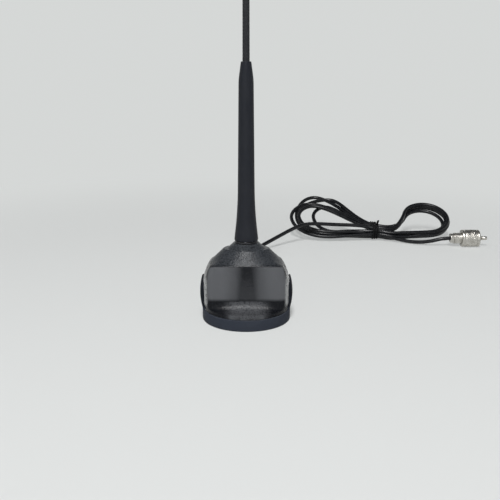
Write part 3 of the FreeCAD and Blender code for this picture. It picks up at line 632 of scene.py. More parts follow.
class ANTENNA_OT_stage(bpy.types.Operator):
    """Camera, floor, soft lights and the shared shader groups"""
    bl_idname = "antenna.stage"
    bl_label = "Stage"

    def execute(self, context):
        settings = context.scene.antenna_stage
        context.scene.view_settings.view_transform = "Standard"
        camera_data = bpy.data.cameras.new("Camera")
        camera_data.lens = settings.lens
        camera_data.sensor_width = SENSOR_WIDTH
        camera_data.clip_start = CLIP_START
        camera = bpy.data.objects.new("Camera", camera_data)
        camera.location = settings.eye
        camera.rotation_euler = (math.pi / 2 - settings.pitch, 0.0, 0.0)
        context.scene.collection.objects.link(camera)
        context.scene.camera = camera
        self.floor(context, settings)
        self.lamp(context, "Softbox", settings.softbox_power, SOFTBOX_PLACE, SOFTBOX_SIZE)
        self.lamp(context, "Fill", settings.fill_power, FILL_PLACE, FILL_SIZE)
        self.room(context, settings)
        make_grain_group()
        make_smudge_group()
        make_dust_group()
        make_lathe_group()
        return {"FINISHED"}

    def floor(self, context, settings):
        """Round floor that turns up into a wall all round."""
        profile = [(radius, 0.0) for radius in FLOOR_RINGS]
        for angle in range(0, 91, 6):
            turn = math.radians(angle)
            profile.append((FLOOR_FLAT + FLOOR_BEND * math.sin(turn), FLOOR_BEND * (1 - math.cos(turn))))
        profile.append((FLOOR_FLAT + FLOOR_BEND, FLOOR_TOP))
        bowl = bpy.data.objects.new("Floor", spun("Floor", profile, FLOOR_STEPS))
        context.scene.collection.objects.link(bowl)
        bowl.data.materials.append(self.paper(settings))

    def paper(self, settings):
        """Pale paper: lit and shaded near the object, and of an even tone away from it."""
        paper = bpy.data.materials.new("Floor paper")
        paper.use_nodes = True
        tree = paper.node_tree
        shader = tree.nodes["Principled BSDF"]
        shader.inputs["Base Color"].default_value = (*settings.floor_colour, 1.0)
        shader.inputs["Roughness"].default_value = 0.9
        shader.inputs["Specular IOR Level"].default_value = 0.1
        rays = tree.nodes.new("ShaderNodeLightPath").outputs
        mirrored = maths(tree, "MAXIMUM", rays["Is Glossy Ray"], rays["Is Transmission Ray"])
        seen = maths(tree, "MAXIMUM", rays["Is Camera Ray"], mirrored)
        away = tree.nodes.new("ShaderNodeVectorMath")
        away.operation = "LENGTH"
        tree.links.new(tree.nodes.new("ShaderNodeTexCoord").outputs["Object"], away.inputs[0])
        share = remap(tree, away.outputs["Value"], GLOW_NEAR, GLOW_FAR, low=settings.floor_glow)
        glow = tree.nodes.new("ShaderNodeEmission")
        glow.inputs["Color"].default_value = (*settings.backdrop_colour, 1.0)
        blend = tree.nodes.new("ShaderNodeMixShader")
        tree.links.new(product(tree, seen, share), blend.inputs[0])
        tree.links.new(shader.outputs[0], blend.inputs[1])
        tree.links.new(glow.outputs[0], blend.inputs[2])
        tree.links.new(blend.outputs[0], tree.nodes["Material Output"].inputs["Surface"])
        return paper

    def lamp(self, context, name, power, place, size):
        """Soft lamp aimed at the base."""
        data = bpy.data.lights.new(name, "AREA")
        data.shape = "RECTANGLE"
        data.size, data.size_y = size
        data.energy = power
        lamp = bpy.data.objects.new(name, data)
        lamp.location = place
        lamp.rotation_euler = (LAMP_TARGET - place).to_track_quat("-Z", "Y").to_euler()
        context.scene.collection.objects.link(lamp)

    def room(self, context, settings):
        """Dim light from all round."""
        room = bpy.data.worlds.new("Room")
        room.use_nodes = True
        context.scene.world = room
        back = room.node_tree.nodes["Background"]
        back.inputs["Color"].default_value = ROOM_COLOUR
        back.inputs["Strength"].default_value = settings.room_level


# Base, in millimetres

LIP_LOW, LIP_INSIDE, LIP_RADIUS = 5.0, 29.8, 31.7
FOOT_LOW, FOOT_TOP, FOOT_RADIUS = 9.02, 12.2, 34.0
FOOT_UNDER_EDGE, FOOT_TOP_EDGE = 0.3, 0.5
HALF_WIDTH, HALF_DEPTH = 34.0, 19.0
SIDE_RADIUS, PANEL_CORNER = 60.0, 7.0
WALL_LOW, WALL_MIDDLE, WALL_TOP = 20.6, 27.0, 34.0
COVE_RADIUS, COVE_REACH, COVE_STEPS = 8.4, 0.92, 12
SHOULDER_TOP, SHOULDER_HALF_WIDTH, SHOULDER_SIDE_RADIUS = 47.0, 28.4, 250.0
SHOULDER_FRONT_CORNER, SHOULDER_BACK_CORNER = 4.0, 15.5
SHOULDER_LEAN, SHOULDER_STEPS = 3.02, 8
ROOF_TOP, ROOF_HALF_WIDTH, ROOF_HALF_DEPTH = 57.4, 17.8, 11.2
ROOF_EASE, ROOF_STEPS, ROOF_EDGE_SHARE = 3.5, 7, 0.6
NECK_HALF_WIDTH, NECK_HALF_DEPTH, NECK_FOOT_EDGE = 14.9, 10.5, 0.6
NECK_TOP, NECK_RADIUS, NECK_BORE, NECK_TOP_EDGE = 62.0, 9.8, 3.1, 0.4

# Points in a quarter outline: along its flat, round its corner and along its side
FLAT_POINTS, CORNER_POINTS, SIDE_POINTS = 14, 6, 8


def panel_quarter(half_width, side_radius, corner):
    """A quarter of a panelled outline, from the middle of its flat to its side."""
    side_centre = half_width - side_radius
    corner_deep = HALF_DEPTH - corner
    inner = side_radius - corner
    flat = side_centre + math.sqrt(inner ** 2 - corner_deep ** 2)
    swing = math.asin(corner_deep / inner)
    quarter = [(flat * step / FLAT_POINTS, HALF_DEPTH) for step in range(FLAT_POINTS)]
    for step in range(CORNER_POINTS):
        angle = lerp(math.pi / 2, swing, step / CORNER_POINTS)
        quarter.append((flat + corner * math.cos(angle), corner * math.sin(angle) + corner_deep))
    for step in range(SIDE_POINTS):
        angle = lerp(swing, 0.0, step / SIDE_POINTS)
        quarter.append((side_centre + side_radius * math.cos(angle), side_radius * math.sin(angle)))
    return quarter


def whole_outline(front, rear, half_width, half_depth, height):
    """An outline from its front and rear quarters, from the front's middle to the right."""
    whole = [(across, -deep) for across, deep in front] + [(half_width, 0.0)]
    whole += list(reversed(rear[1:])) + [(0.0, half_depth)] + [(-across, deep) for across, deep in rear[1:]]
    whole += [(-half_width, 0.0)] + [(-across, -deep) for across, deep in reversed(front[1:])]
    return [Vector((across, deep, height)) * MM for across, deep in whole]


def wall_section(height):
    """Level outline of the walls: flat front and back, bowed sides and tangent corners."""
    quarter = panel_quarter(HALF_WIDTH, SIDE_RADIUS, PANEL_CORNER)
    return whole_outline(quarter, quarter, HALF_WIDTH, HALF_DEPTH, height)


def foot_section(height, radius):
    """Round outline whose points stand under those of the walls."""
    above = panel_quarter(HALF_WIDTH, SIDE_RADIUS, PANEL_CORNER)
    angles = [math.atan2(deep, across) for across, deep in above]
    quarter = [(radius * math.cos(angle), radius * math.sin(angle)) for angle in angles]
    return whole_outline(quarter, quarter, radius, radius, height)


def cove_sections(foot, wall):
    """Outlines of the ledge from foot to wall: a level shelf that turns up into the wall in a round cove."""
    sections = []
    for step in range(COVE_STEPS):
        turn = math.pi / 2 * (1 - step / COVE_STEPS)
        section = []
        for low, high in zip(foot, wall):
            out = Vector((low.x - high.x, low.y - high.y, 0.0))
            reach = min(out.length * COVE_REACH, COVE_RADIUS * MM)
            spot = high + out.normalized() * reach * (1 - math.cos(turn))
            section.append(spot - Vector((0, 0, (high.z - low.z) * math.sin(turn))))
        sections.append(section)
    return sections


def shoulder_section(share):
    """Outline part of the way from the walls' top to the shoulder's, which is narrower and less bowed."""
    curve = HALF_WIDTH - SHOULDER_HALF_WIDTH - SHOULDER_LEAN
    half_width = HALF_WIDTH - SHOULDER_LEAN * share - curve * share ** 2
    side_radius = 1 / lerp(1 / SIDE_RADIUS, 1 / SHOULDER_SIDE_RADIUS, share)
    front, rear = (panel_quarter(half_width, side_radius, lerp(PANEL_CORNER, corner, share))
                   for corner in (SHOULDER_FRONT_CORNER, SHOULDER_BACK_CORNER))
    return whole_outline(front, rear, half_width, HALF_DEPTH, lerp(WALL_TOP, SHOULDER_TOP, share))


def oval_section(height, half_width, half_depth, shoulder, corners=0.0):
    """Oval outline in line with the shoulder's, keeping a share of its corners."""
    points = []
    for point in shoulder:
        across, deep = point.x / MM / SHOULDER_HALF_WIDTH, point.y / MM / HALF_DEPTH
        reach = math.hypot(across, deep)
        keep = lerp(1.0, reach, corners) / reach
        points.append(Vector((half_width * across * keep, half_depth * deep * keep, height)) * MM)
    return points


def roof_section(share, shoulder):
    """Outline part of the way from the shoulder to the roof's top, ever more oval."""
    half_width = lerp(SHOULDER_HALF_WIDTH, ROOF_HALF_WIDTH, share)
    half_depth = lerp(HALF_DEPTH, ROOF_HALF_DEPTH, share)
    height = lerp(SHOULDER_TOP, ROOF_TOP, share)
    return oval_section(height, half_width, half_depth, shoulder, (1 - share) ** ROOF_EASE)


class ANTENNA_OT_housing(bpy.types.Operator):
    """Grained cover: round foot, coved ledges, flat panels, shoulder, roof and neck"""
    bl_idname = "antenna.housing"
    bl_label = "Housing"

    def execute(self, context):
        settings = context.scene.antenna_base
        levels = self.levels(settings.edge / MM)
        cuts = [cut * MM for section, cut in levels]
        columns = []
        for line in zip(*(section for section, cut in levels)):
            columns.append(self.divided(rounded(line, cuts)))
        mesh = grid_mesh("Housing", list(zip(*columns)))
        add_piece("Housing", mesh, housing_finish(settings), BODY, ["housing"])
        return {"FINISHED"}

    def levels(self, edge):
        """Outlines from the lip inside the boot up to the neck, each with the cut that rounds it."""
        foot, wall = foot_section(FOOT_TOP, FOOT_RADIUS), wall_section(WALL_LOW)
        shoulder = shoulder_section(1.0)
        levels = [(foot_section(LIP_LOW, LIP_INSIDE), 0),
                  (foot_section(LIP_LOW, LIP_RADIUS), FOOT_UNDER_EDGE),
                  (foot_section(FOOT_LOW, LIP_RADIUS), 0),
                  (foot_section(FOOT_LOW, FOOT_RADIUS), FOOT_UNDER_EDGE), (foot, FOOT_TOP_EDGE)]
        levels += [(section, 0) for section in cove_sections(foot, wall)]
        levels += [(wall, 0), (wall_section(WALL_MIDDLE), 0), (wall_section(WALL_TOP), 0)]
        levels += [(shoulder_section(step / SHOULDER_STEPS), 0) for step in range(1, SHOULDER_STEPS)]
        levels += [(shoulder, edge)]
        levels += [(roof_section(step / ROOF_STEPS, shoulder), 0) for step in range(1, ROOF_STEPS)]
        levels += [(roof_section(1.0, shoulder), edge * ROOF_EDGE_SHARE)]
        for height, half_width, half_depth, cut in (
                (ROOF_TOP, NECK_HALF_WIDTH, NECK_HALF_DEPTH, NECK_FOOT_EDGE),
                (NECK_TOP, NECK_RADIUS, NECK_RADIUS, NECK_TOP_EDGE), (NECK_TOP, NECK_BORE, NECK_BORE, 0)):
            levels.append((oval_section(height, half_width, half_depth, shoulder), cut))
        return levels

    def divided(self, line):
        """A line with one more point between each two, so that the surface bends evenly."""
        out = []
        for here, follow in zip(line, line[1:]):
            out += [here, here.lerp(follow, 0.5)]
        return out + [line[-1]]


# Boot ring as (radius, height) corners with their cuts, and the heights above which the boot's ears get
# painted shade
BOOT_RING = [(0, 0), (35, 0), (35, 9), (31.85, 9), (31.85, 1.4), (0, 1.4)]
BOOT_CUTS = [0, 1.0, 0.55, 0.3, 0.3, 0]
BOOT_STEPS = 144
BOOT_PAINTED_SHADE = (9.2, 13.0)

# Ear: half width, foot, start of its arched top, reach of its skin, rim and bulge, and its middle height
EAR_HALF_WIDTH, EAR_LOW, EAR_ARCH = 10.0, 8.2, 25.5
EAR_SKIN, EAR_FACE, EAR_BULGE, EAR_RIM = 34.05, 34.95, 1.865, 0.9
EAR_MIDDLE, EAR_HALF_HEIGHT = 22.25, 13.25
EAR_ROWS, EAR_COLUMNS = 28, 36


class ANTENNA_OT_boot(bpy.types.Operator):
    """Rubber boot: ring, floor and the two ears that grip the housing's sides"""
    bl_idname = "antenna.boot"
    bl_label = "Rubber boot"

    def execute(self, context):
        settings = context.scene.antenna_base
        ring = spun("Boot ring", soft_profile(BOOT_RING, BOOT_CUTS), BOOT_STEPS)
        mesh = join_meshes("Rubber boot", [ring, self.ear(1), self.ear(-1)])
        finish = rubber_finish("Boot rubber", settings.boot_colour, BOOT_PAINTED_SHADE)
        add_piece("Rubber_boot", mesh, finish, BODY, ["rubber_boot"])
        return {"FINISHED"}

    def ear(self, side):
        """Bulged tongue with an arched top, thinning to its rim."""
        rows = []
        for level in range(EAR_ROWS + 1):
            rise = math.sin(math.pi / 2 * level / EAR_ROWS)
            row = []
            for step in range(EAR_COLUMNS + 1):
                deep = EAR_HALF_WIDTH * math.sin(math.pi * (step / EAR_COLUMNS - 0.5))
                top = EAR_ARCH + math.sqrt(max(EAR_HALF_WIDTH ** 2 - deep ** 2, 0))
                height = lerp(EAR_LOW, top, rise)
                row.append(self.ear_point(side, deep, height))
            rows.append(row)
        return grid_mesh("Ear", rows, closed=False)

    def ear_point(self, side, deep, height):
        """A point on the ear's outside: full within the rim and down to the housing at its edge."""
        out = math.hypot(deep, height - EAR_ARCH) if height > EAR_ARCH else abs(deep)
        edge = max(EAR_HALF_WIDTH - out, 0)
        thick = math.sqrt(max(1 - (1 - min(edge / EAR_RIM, 1)) ** 2, 0))
        bulge = EAR_BULGE * (1 - ((height - EAR_MIDDLE) / EAR_HALF_HEIGHT) ** 2)
        reach = lerp(EAR_SKIN, EAR_FACE + max(bulge, 0), thick)
        around = math.asin(deep / reach)
        return Vector((side * reach * math.cos(around), deep, height)) * MM


# Mast and whip, in millimetres

MAST_INSIDE, MAST_FOOT, MAST_WAIST, MAST_NECK, MAST_TIP, MAST_BORE = 7.1, 9.4, 6.5, 5.65, 3.9, 2.75
MAST_FLARE_LOW, MAST_FLARE_TOP, MAST_FLARE_HOLLOW, MAST_FLARE_STEPS = 0.8, 41.0, 2.46, 14
MAST_TIP_LENGTH, MAST_BORE_DEPTH = 13.2, 5.0
MAST_FOOT_CUTS, MAST_TOP_CUTS = [0, 0.75], [3.0, 0.5, 0.2, 0]
MAST_STEPS = 112
WASHER_BORE, WASHER_RADIUS, WASHER_CUT, WASHER_PLAY = 3.1, 9.0, 0.7, 0.02
WHIP_FOOT, WHIP_TOP = 2.7, 2.1
WHIP_STEPS, WHIP_ROWS_A_RIB = 40, 7


class ANTENNA_OT_mast(bpy.types.Operator):
    """Tapered mast with its flared foot, and the washer in the gap under it"""
    bl_idname = "antenna.mast"
    bl_label = "Mast and washer"

    def execute(self, context):
        settings = context.scene.antenna_mast
        low, high = MAST_LOW.z / MM, MAST_HIGH.z / MM
        corners = [(MAST_INSIDE, low), (MAST_FOOT, low)]
        for step in range(1, MAST_FLARE_STEPS + 1):
            share = step / MAST_FLARE_STEPS
            radius = lerp(MAST_FOOT, MAST_WAIST, share) - MAST_FLARE_HOLLOW * share * (1 - share)
            corners.append((radius, low + lerp(MAST_FLARE_LOW, MAST_FLARE_TOP, share)))
        corners += [(MAST_NECK, high - MAST_TIP_LENGTH), (MAST_TIP, high), (MAST_BORE, high),
                    (MAST_BORE, high - MAST_BORE_DEPTH)]
        cuts = MAST_FOOT_CUTS + [0] * MAST_FLARE_STEPS + MAST_TOP_CUTS
        mast = spun("Mast", soft_profile(corners, cuts), MAST_STEPS)
        finish = satin_finish("Satin mast plastic", settings.mast_colour, low=0.36, high=0.48,
                              ripple=1.1 * MM)
        add_piece("Mast", mast, finish, BODY, ["mast_tube"])
        self.washer()
        return {"FINISHED"}

    def washer(self):
        """Dark plated washer with rounded edges."""
        low, high = WASHER_LOW.z / MM + WASHER_PLAY, WASHER_HIGH.z / MM - WASHER_PLAY
        corners = [(WASHER_BORE, low), (WASHER_RADIUS, low), (WASHER_RADIUS, high), (WASHER_BORE, high)]
        mesh = spun("Washer", soft_profile(corners, [0, WASHER_CUT, WASHER_CUT, 0]), MAST_STEPS)
        finish = metal_finish("Dark plated washer", (0.07, 0.07, 0.075), (0.03, 0.03, 0.034), roughness=0.24)
        add_piece("Neck_washer", mesh, finish, BODY, ["neck_washer"])


class ANTENNA_OT_whip(bpy.types.Operator):
    """Tapered whip sleeve with its wound ribs, and the plain cap"""
    bl_idname = "antenna.whip"
    bl_label = "Whip"

    def execute(self, context):
        settings = context.scene.antenna_mast
        foot, low, high = WHIP_LOW.z, MAST_HIGH.z, WHIP_HIGH.z
        rows = int((high - foot) / (settings.rib_pitch / WHIP_ROWS_A_RIB))

        def ribbed(radius, angle, height):
            turn = (height / settings.rib_pitch - angle / (2 * math.pi)) % 1.0
            wave = math.sqrt(max(1 - (2 * turn - 1) ** 2, 0))
            return radius - settings.rib_height * (1 - wave)

        profile = []
        for row in range(rows + 1):
            height = lerp(foot, high, row / rows)
            share = max(height - low, 0) / (high - low)
            profile.append((lerp(WHIP_FOOT, WHIP_TOP, share) * MM, height))
        mesh = spun("Whip sleeve", profile, WHIP_STEPS, shape=ribbed)
        finish = satin_finish("Ribbed whip sleeve", settings.sleeve_colour, low=0.40, high=0.54,
                              ripple=0.5 * MM)
        add_piece("Whip_sleeve", mesh, finish, BODY, ["whip_sleeve"])
        dress(["whip_tip"], finish)
        return {"FINISHED"}


# Lead, hank and tie, in millimetres

# Control points of the stretch from the base to the hank and of the tail to the plug
LEAD = [(0, 9.4, 27), (0, 45, 27), (1.5, 79, 16), (3, 110, 4.5), (2, 139, 2.3), (0, 163, 2.6),
        (1.5, 184, 2.3), (8, 199, 3.2), (19, 209, 6.4), (36, 223, 12.4), (52, 234.5, 18.2), (65, 242, 20.8),
        (80, 246.5, 19.8), (99, 250, 18.0), (119, 251, 17.2), (134, 252, 15.4)]
TAIL = [(152, 249, 6.5), (166, 241, 3.6), (181, 232.5, 2.3), (197, 226, 4), (213, 223, 9.2), (224, 223, 9.2)]
HANK_PLACE = (145.0, 255.0, 4.93)
HANK_TILT = math.radians(27)

# One row a turn: left end, top and bottom of the left lobe as (across, up), its level, the fall of its
# upper run, places in the tie going out and coming back as (up, level), and the right lobe that follows
# as (across, up, half width, half height, level)
TURNS = [
    ((-88.5, 27.5), (-65.1, 64.6), (-55.7, -4.3), 3.0, (0.12, 0.385, 0.70), (-5.0, 2.2), (5.0, 5.6),
     (58, 20, 25.0, 25.0, 3.0)),
    ((-94.5, 24.4), (-71.1, 49.4), (-56.1, -8.8), 5.0, (0.125, 0.37, 0.66), (-5.0, 5.6), (1.6, 9.0),
     (57, 21, 24.0, 23.5, 6.5)),
    ((-87.0, 26.5), (-48.4, 57.4), (-55.8, -4.0), 5.0, (0.13, 0.45, 0.75), (-1.7, 2.2), (5.0, 9.0),
     (56, 18, 22.0, 21.5, 2.5)),
    ((-86.0, 23.4), (-68.0, 42.5), (-55.8, -3.0), 7.5, (0.13, 0.40, 0.70), (-1.7, 5.6), (1.6, 5.6),
     (58, 20, 25.0, 24.5, 8.5)),
    ((-69.0, 28.8), (-51.5, 47.5), (-47.0, 3.0), 2.2, (0.17, 0.44, 0.73), (-2.0, 7.6), (5.0, 2.4), None),
]
FIRST_RIGHT, FIRST_PLACE = (58.0, 20.5, 26.0, 26.0, 5.5), (-1.8, 9.2)

# Control points stand a little outside the lobes, because the cord's line cuts inside them
RIGHT_SPREAD, LEFT_SPREAD = 1.035, 1.03
RIGHT_ANGLES = (140, 112, 84, 54, 22, -10, -42, -72)
LEFT_LOW_ANGLES, LEFT_HIGH_ANGLES = (0, 30, 60, 90), (30, 60, 90)
RUN_SHARES, RUN_END, RUN_RISE = (0.24, 0.48, 0.72), -8, 3.4


def hank_point(across, up, level):
    """A place in the hank's own tilted plane."""
    lean, rise = math.cos(HANK_TILT), math.sin(HANK_TILT)
    return (HANK_PLACE[0] + across, HANK_PLACE[1] + up * lean - level * rise,
            HANK_PLACE[2] + up * rise + level * lean)


def right_half(lobe, high, low):
    """Out of the tie, over the top of the right lobe and back under it."""
    across, up, half_width, half_height, level = lobe
    points = [hank_point(3, *high), hank_point(13, high[0] - 1.5, high[1] - 0.5),
              hank_point(23, high[0] + 4.5, (high[1] + level) / 2),
              hank_point(32, lerp(high[0], up, 0.6) + half_height * 0.3, level)]
    for angle in RIGHT_ANGLES:
        turn = math.radians(angle)
        points.append(hank_point(across + half_width * RIGHT_SPREAD * math.cos(turn),
                                 up + half_height * RIGHT_SPREAD * math.sin(turn), level))
    return points + [hank_point(48, up - half_height - 1.0, level),
                     hank_point(32, low[0] - 3.5, (level + low[1]) / 2), hank_point(15, low[0] - 4.0, low[1])]


def left_half(end, top, bottom, level, fall, low, high):
    """Out along the low side, round the left end, over the top and down to the tie."""
    points = [hank_point(3, *low), hank_point(-10, low[0] - 0.5, low[1]),
              hank_point(-31, lerp(low[0], bottom[1], 0.6), (low[1] + level) / 2)]
    for angle in LEFT_LOW_ANGLES:
        turn = math.radians(angle)
        points.append(hank_point(bottom[0] + (end[0] - bottom[0]) * LEFT_SPREAD * math.sin(turn),
                                 end[1] + (bottom[1] - end[1]) * LEFT_SPREAD * math.cos(turn), level))
    for angle in LEFT_HIGH_ANGLES:
        turn = math.radians(angle)
        points.append(hank_point(top[0] + (end[0] - top[0]) * LEFT_SPREAD * math.cos(turn),
                                 end[1] + (top[1] - end[1]) * LEFT_SPREAD * math.sin(turn), level))
    goal = high[0] + RUN_RISE
    for share, drop in zip(RUN_SHARES, fall):
        points.append(hank_point(lerp(top[0], RUN_END, share), lerp(top[1], goal, drop),
                                 lerp(level, high[1], share)))
    return points + [hank_point(RUN_END, goal, high[1])]


def lead_route():
    """Control points of the whole coax: lead, turns of the hank and tail."""
    points = list(LEAD)
    right, high = FIRST_RIGHT, FIRST_PLACE
    for end, top, bottom, level, fall, low, follow, after in TURNS:
        points += right_half(right, high, low)
        points += left_half(end, top, bottom, level, fall, low, follow)
        right, high = after, follow
    return [Vector(point) * MM for point in points + TAIL]


# Gland as (radius, height) corners from the back panel outwards, with their cuts
GLAND_PLACE = (0, 0.019, 0.027)
GLAND_HEAD = [(2.05, -3.6), (5.6, -3.6), (5.6, -2.2), (3.9, -2.2), (3.9, 0.0), (5.6, 0.02), (5.6, 1.4)]
GLAND_HEAD_CUTS = [0, 0.3, 0.3, 0, 0, 0.2, 0.5]
GLAND_RINGS, GLAND_RING_START, GLAND_RING_PITCH = 5, 2.2, 2.15
GLAND_RING_WIDE, GLAND_RING_NARROW, GLAND_RING_DEPTH = 3.9, 3.1, 0.6
GLAND_TAIL, GLAND_TAIL_END, GLAND_BORE = 2.95, 13.0, 2.05
GLAND_STEPS = 64
GLAND_COLOUR = (0.013, 0.013, 0.015)


class ANTENNA_OT_lead(bpy.types.Operator):
    """Coax from the gland through the tied turns to the plug, and the ringed gland"""
    bl_idname = "antenna.lead"
    bl_label = "Lead and gland"

    def execute(self, context):
        settings = context.scene.antenna_lead
        route = lead_route()
        curve = bpy.data.curves.new("Lead", "CURVE")
        curve.dimensions = "3D"
        spline = curve.splines.new("NURBS")
        spline.points.add(len(route) - 1)
        for point, spot in zip(spline.points, route):
            point.co = (*spot, 1.0)
        spline.order_u = 3
        spline.use_endpoint_u = True
        spline.resolution_u = 7
        curve.bevel_depth = settings.diameter / 2
        curve.bevel_resolution = 4
        curve.use_fill_caps = True
        lead = add_piece("Lead", curve, jacket_finish(settings.jacket_colour), BODY,
                         ["lead_cable", "cable_hank", "tail_cable"])
        self.gland()
        return {"FINISHED"}

    def gland(self):
        """Rubber strain relief with its rings, in the back panel."""
        corners, cuts = list(GLAND_HEAD), list(GLAND_HEAD_CUTS)
        start = GLAND_RING_START
        for ring in range(GLAND_RINGS):
            outer = lerp(GLAND_RING_WIDE, GLAND_RING_NARROW, ring / (GLAND_RINGS - 1))
            inner = outer - GLAND_RING_DEPTH
            corners += [(outer, start), (outer, start + 1.3), (inner, start + 1.45), (inner, start + 2.1)]
            cuts += [0.3, 0.3, 0.1, 0.1]
            start += GLAND_RING_PITCH
        corners += [(GLAND_TAIL, start), (GLAND_TAIL, GLAND_TAIL_END), (GLAND_BORE, GLAND_TAIL_END)]
        cuts += [0.2, 0.4, 0]
        place = Matrix.Translation(GLAND_PLACE) @ Matrix.Rotation(-math.pi / 2, 4, "X")
        mesh = spun("Gland", soft_profile(corners, cuts), GLAND_STEPS, place)
        add_piece("Cable_gland", mesh, rubber_finish("Gland rubber", GLAND_COLOUR), BODY,
                  ["cable_gland"])


# Tie: turns round the hank, from its first place across to its last, and the loop's middle and half sizes
TIE_TURNS, TIE_STEPS = 3, 192
TIE_FIRST, TIE_LAST = -6.4, 0.7
TIE_MIDDLE_UP, TIE_MIDDLE_LEVEL = 1.3, 5.9
TIE_FIRST_HALF_UP, TIE_LAST_HALF_UP, TIE_HALF_LEVEL = 9.4, 8.6, 6.6
TIE_SQUARENESS = 4

# Tie ends: where they rise from the loop, how far they stand up, spread and lean, and their section
END_ACROSS, END_UP, END_LEVEL = 0.6, 5.0, 11.6
END_HEIGHT, END_SPREAD, END_LEAN, END_TWISTS = 5.2, 0.55, 0.8, 1.6
END_THICK, END_TIP_THICK, END_WIDE, END_DEEP = 0.8, 0.4, 1.25, 0.8
END_STEPS, END_SIDES = 40, 10


class ANTENNA_OT_tie(bpy.types.Operator):
    """Twist tie: a wired strip wound three times round the hank, with its ends twisted together"""
    bl_idname = "antenna.tie"
    bl_label = "Twist tie"

    def execute(self, context):
        settings = context.scene.antenna_lead
        mesh = join_meshes("Twist tie", [self.strip(settings), self.end(0.0), self.end(math.pi)])
        finish = satin_finish("Tie plastic", settings.tie_colour, low=0.30, high=0.44, ripple=0.6 * MM)
        add_piece("Twist_tie", mesh, finish, BODY, ["twist_tie"])
        return {"FINISHED"}

    def section(self, half_width):
        """Flat strip with the round wire in its middle, as (across, out) points."""
        half = [(-half_width, 0.0), (-half_width * 0.96, 0.3), (-half_width * 0.55, 0.36), (-0.62, 0.45),
                (-0.4, 0.75), (0.0, 0.9)]
        outer = half + [(-across, out) for across, out in reversed(half[:-1])]
        return outer + [(half_width * 0.9, -0.12), (-half_width * 0.9, -0.12)]

    def strip(self, settings):
        """Turns of the strip round the tied strands, one beside the other."""
        section = self.section(settings.tie_width / MM / 2)
        rows = []
        for step in range(TIE_STEPS + 1):
            share = step / TIE_STEPS
            angle = math.pi / 2 - 2 * math.pi * TIE_TURNS * share
            along_up, along_level = math.cos(angle), math.sin(angle)
            powers = abs(along_up) ** TIE_SQUARENESS + abs(along_level) ** TIE_SQUARENESS
            corner = powers ** (1 / TIE_SQUARENESS)
            across = lerp(TIE_FIRST, TIE_LAST, share)
            up = TIE_MIDDLE_UP + lerp(TIE_FIRST_HALF_UP, TIE_LAST_HALF_UP, share) * along_up / corner
            level = TIE_MIDDLE_LEVEL + TIE_HALF_LEVEL * along_level / corner
            out = Vector((along_up ** 3, along_level ** 3)).normalized()
            rows.append([Vector(hank_point(across + wide, up + out.x * reach, level + out.y * reach)) * MM
                         for wide, reach in section])
        return grid_mesh("Strip", rows)

    def end(self, turn):
        """One of the two ends, twisted round the other and standing up from the strip."""
        rows = []
        for step in range(END_STEPS + 1):
            share = step / END_STEPS
            angle = turn + share * END_TWISTS * 2 * math.pi
            spread = END_SPREAD * min(1.0, 0.6 + share)
            middle_across = END_ACROSS + spread * math.cos(angle) + END_LEAN * share ** 2
            middle_up = END_UP + spread * math.sin(angle)
            level = END_LEVEL + END_HEIGHT * share
            thick = END_THICK if step < END_STEPS else END_TIP_THICK
            row = []
            for side in range(END_SIDES):
                swing = 2 * math.pi * side / END_SIDES
                wide = thick * END_WIDE * math.cos(swing)
                deep = thick * END_DEEP * math.sin(swing)
                across = middle_across - wide * math.sin(angle) - deep * math.cos(angle)
                up = middle_up + wide * math.cos(angle) - deep * math.sin(angle)
                row.append(Vector(hank_point(across, up, level)) * MM)
            rows.append(row)
        tip = sum(rows[-1], Vector()) / END_SIDES
        rows.append([tip] * END_SIDES)
        return grid_mesh("Tie end", rows)


# Plug: (radius, height) corners along its axis in millimetres, from the cord's end

SLEEVE_RADIUS, KNURL_LOW, KNURL_HIGH, KNURL_ROWS = 9.2, 16.0, 27.5, 46
SLEEVE_REAR = [(6.15, 14.4), (6.15, 12.0), (8.6, 12.0), (9.2, 12.8), (9.2, 14.6), (8.7, 15.0), (8.7, 15.6)]
SLEEVE_FRONT = [(8.7, 27.9), (8.7, 28.5), (9.2, 28.9), (9.2, 30.4), (8.6, 31.0), (7.85, 31.0), (7.85, 14.4),
                (6.15, 14.4)]
SLEEVE_STEPS, PLUG_STEPS = 240, 72

# Piece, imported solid, slot, corners and the cuts that round them
PLUG_PIECES = (
    ("Plug_body", "plug_body", "plated_metal",
     [(4.45, 4.0), (5.8, 4.0), (5.8, 20.0), (7.5, 20.0), (7.5, 22.0), (6.2, 22.0), (6.2, 31.0), (5.0, 31.0),
      (5.0, 22.0), (2.6, 22.0), (2.6, 13.1), (4.45, 13.1), (4.45, 4.0)],
     [0, 0.3, 0.3, 0.3, 0.3, 0.3, 0.35, 0.2, 0, 0, 0, 0, 0]),
    ("Plug_reducer", "plug_reducer", "plated_metal",
     [(2.06, 0), (5.2, 0), (5.2, 4.0), (4.4, 4.0), (4.4, 13.0), (2.06, 13.0), (2.06, 0)],
     [0, 0.6, 0.3, 0, 0.2, 0, 0]),
    ("Plug_pin", "plug_pin", "plated_metal",
     [(0, 16.0), (1.4, 16.0), (1.4, 31.0), (1.98, 31.0), (1.98, 40.0), (1.1, 40.0), (0.95, 39.4),
      (0.95, 35.0), (0, 35.0)],
     [0, 0, 0, 0, 0.9, 0.2, 0, 0, 0]),
    ("Plug_insulator", "plug_insulator", "insulator",
     [(1.43, 22.0), (4.94, 22.0), (4.94, 31.0), (1.43, 31.0), (1.43, 22.0)],
     [0, 0.2, 0.3, 0.2, 0]),
)


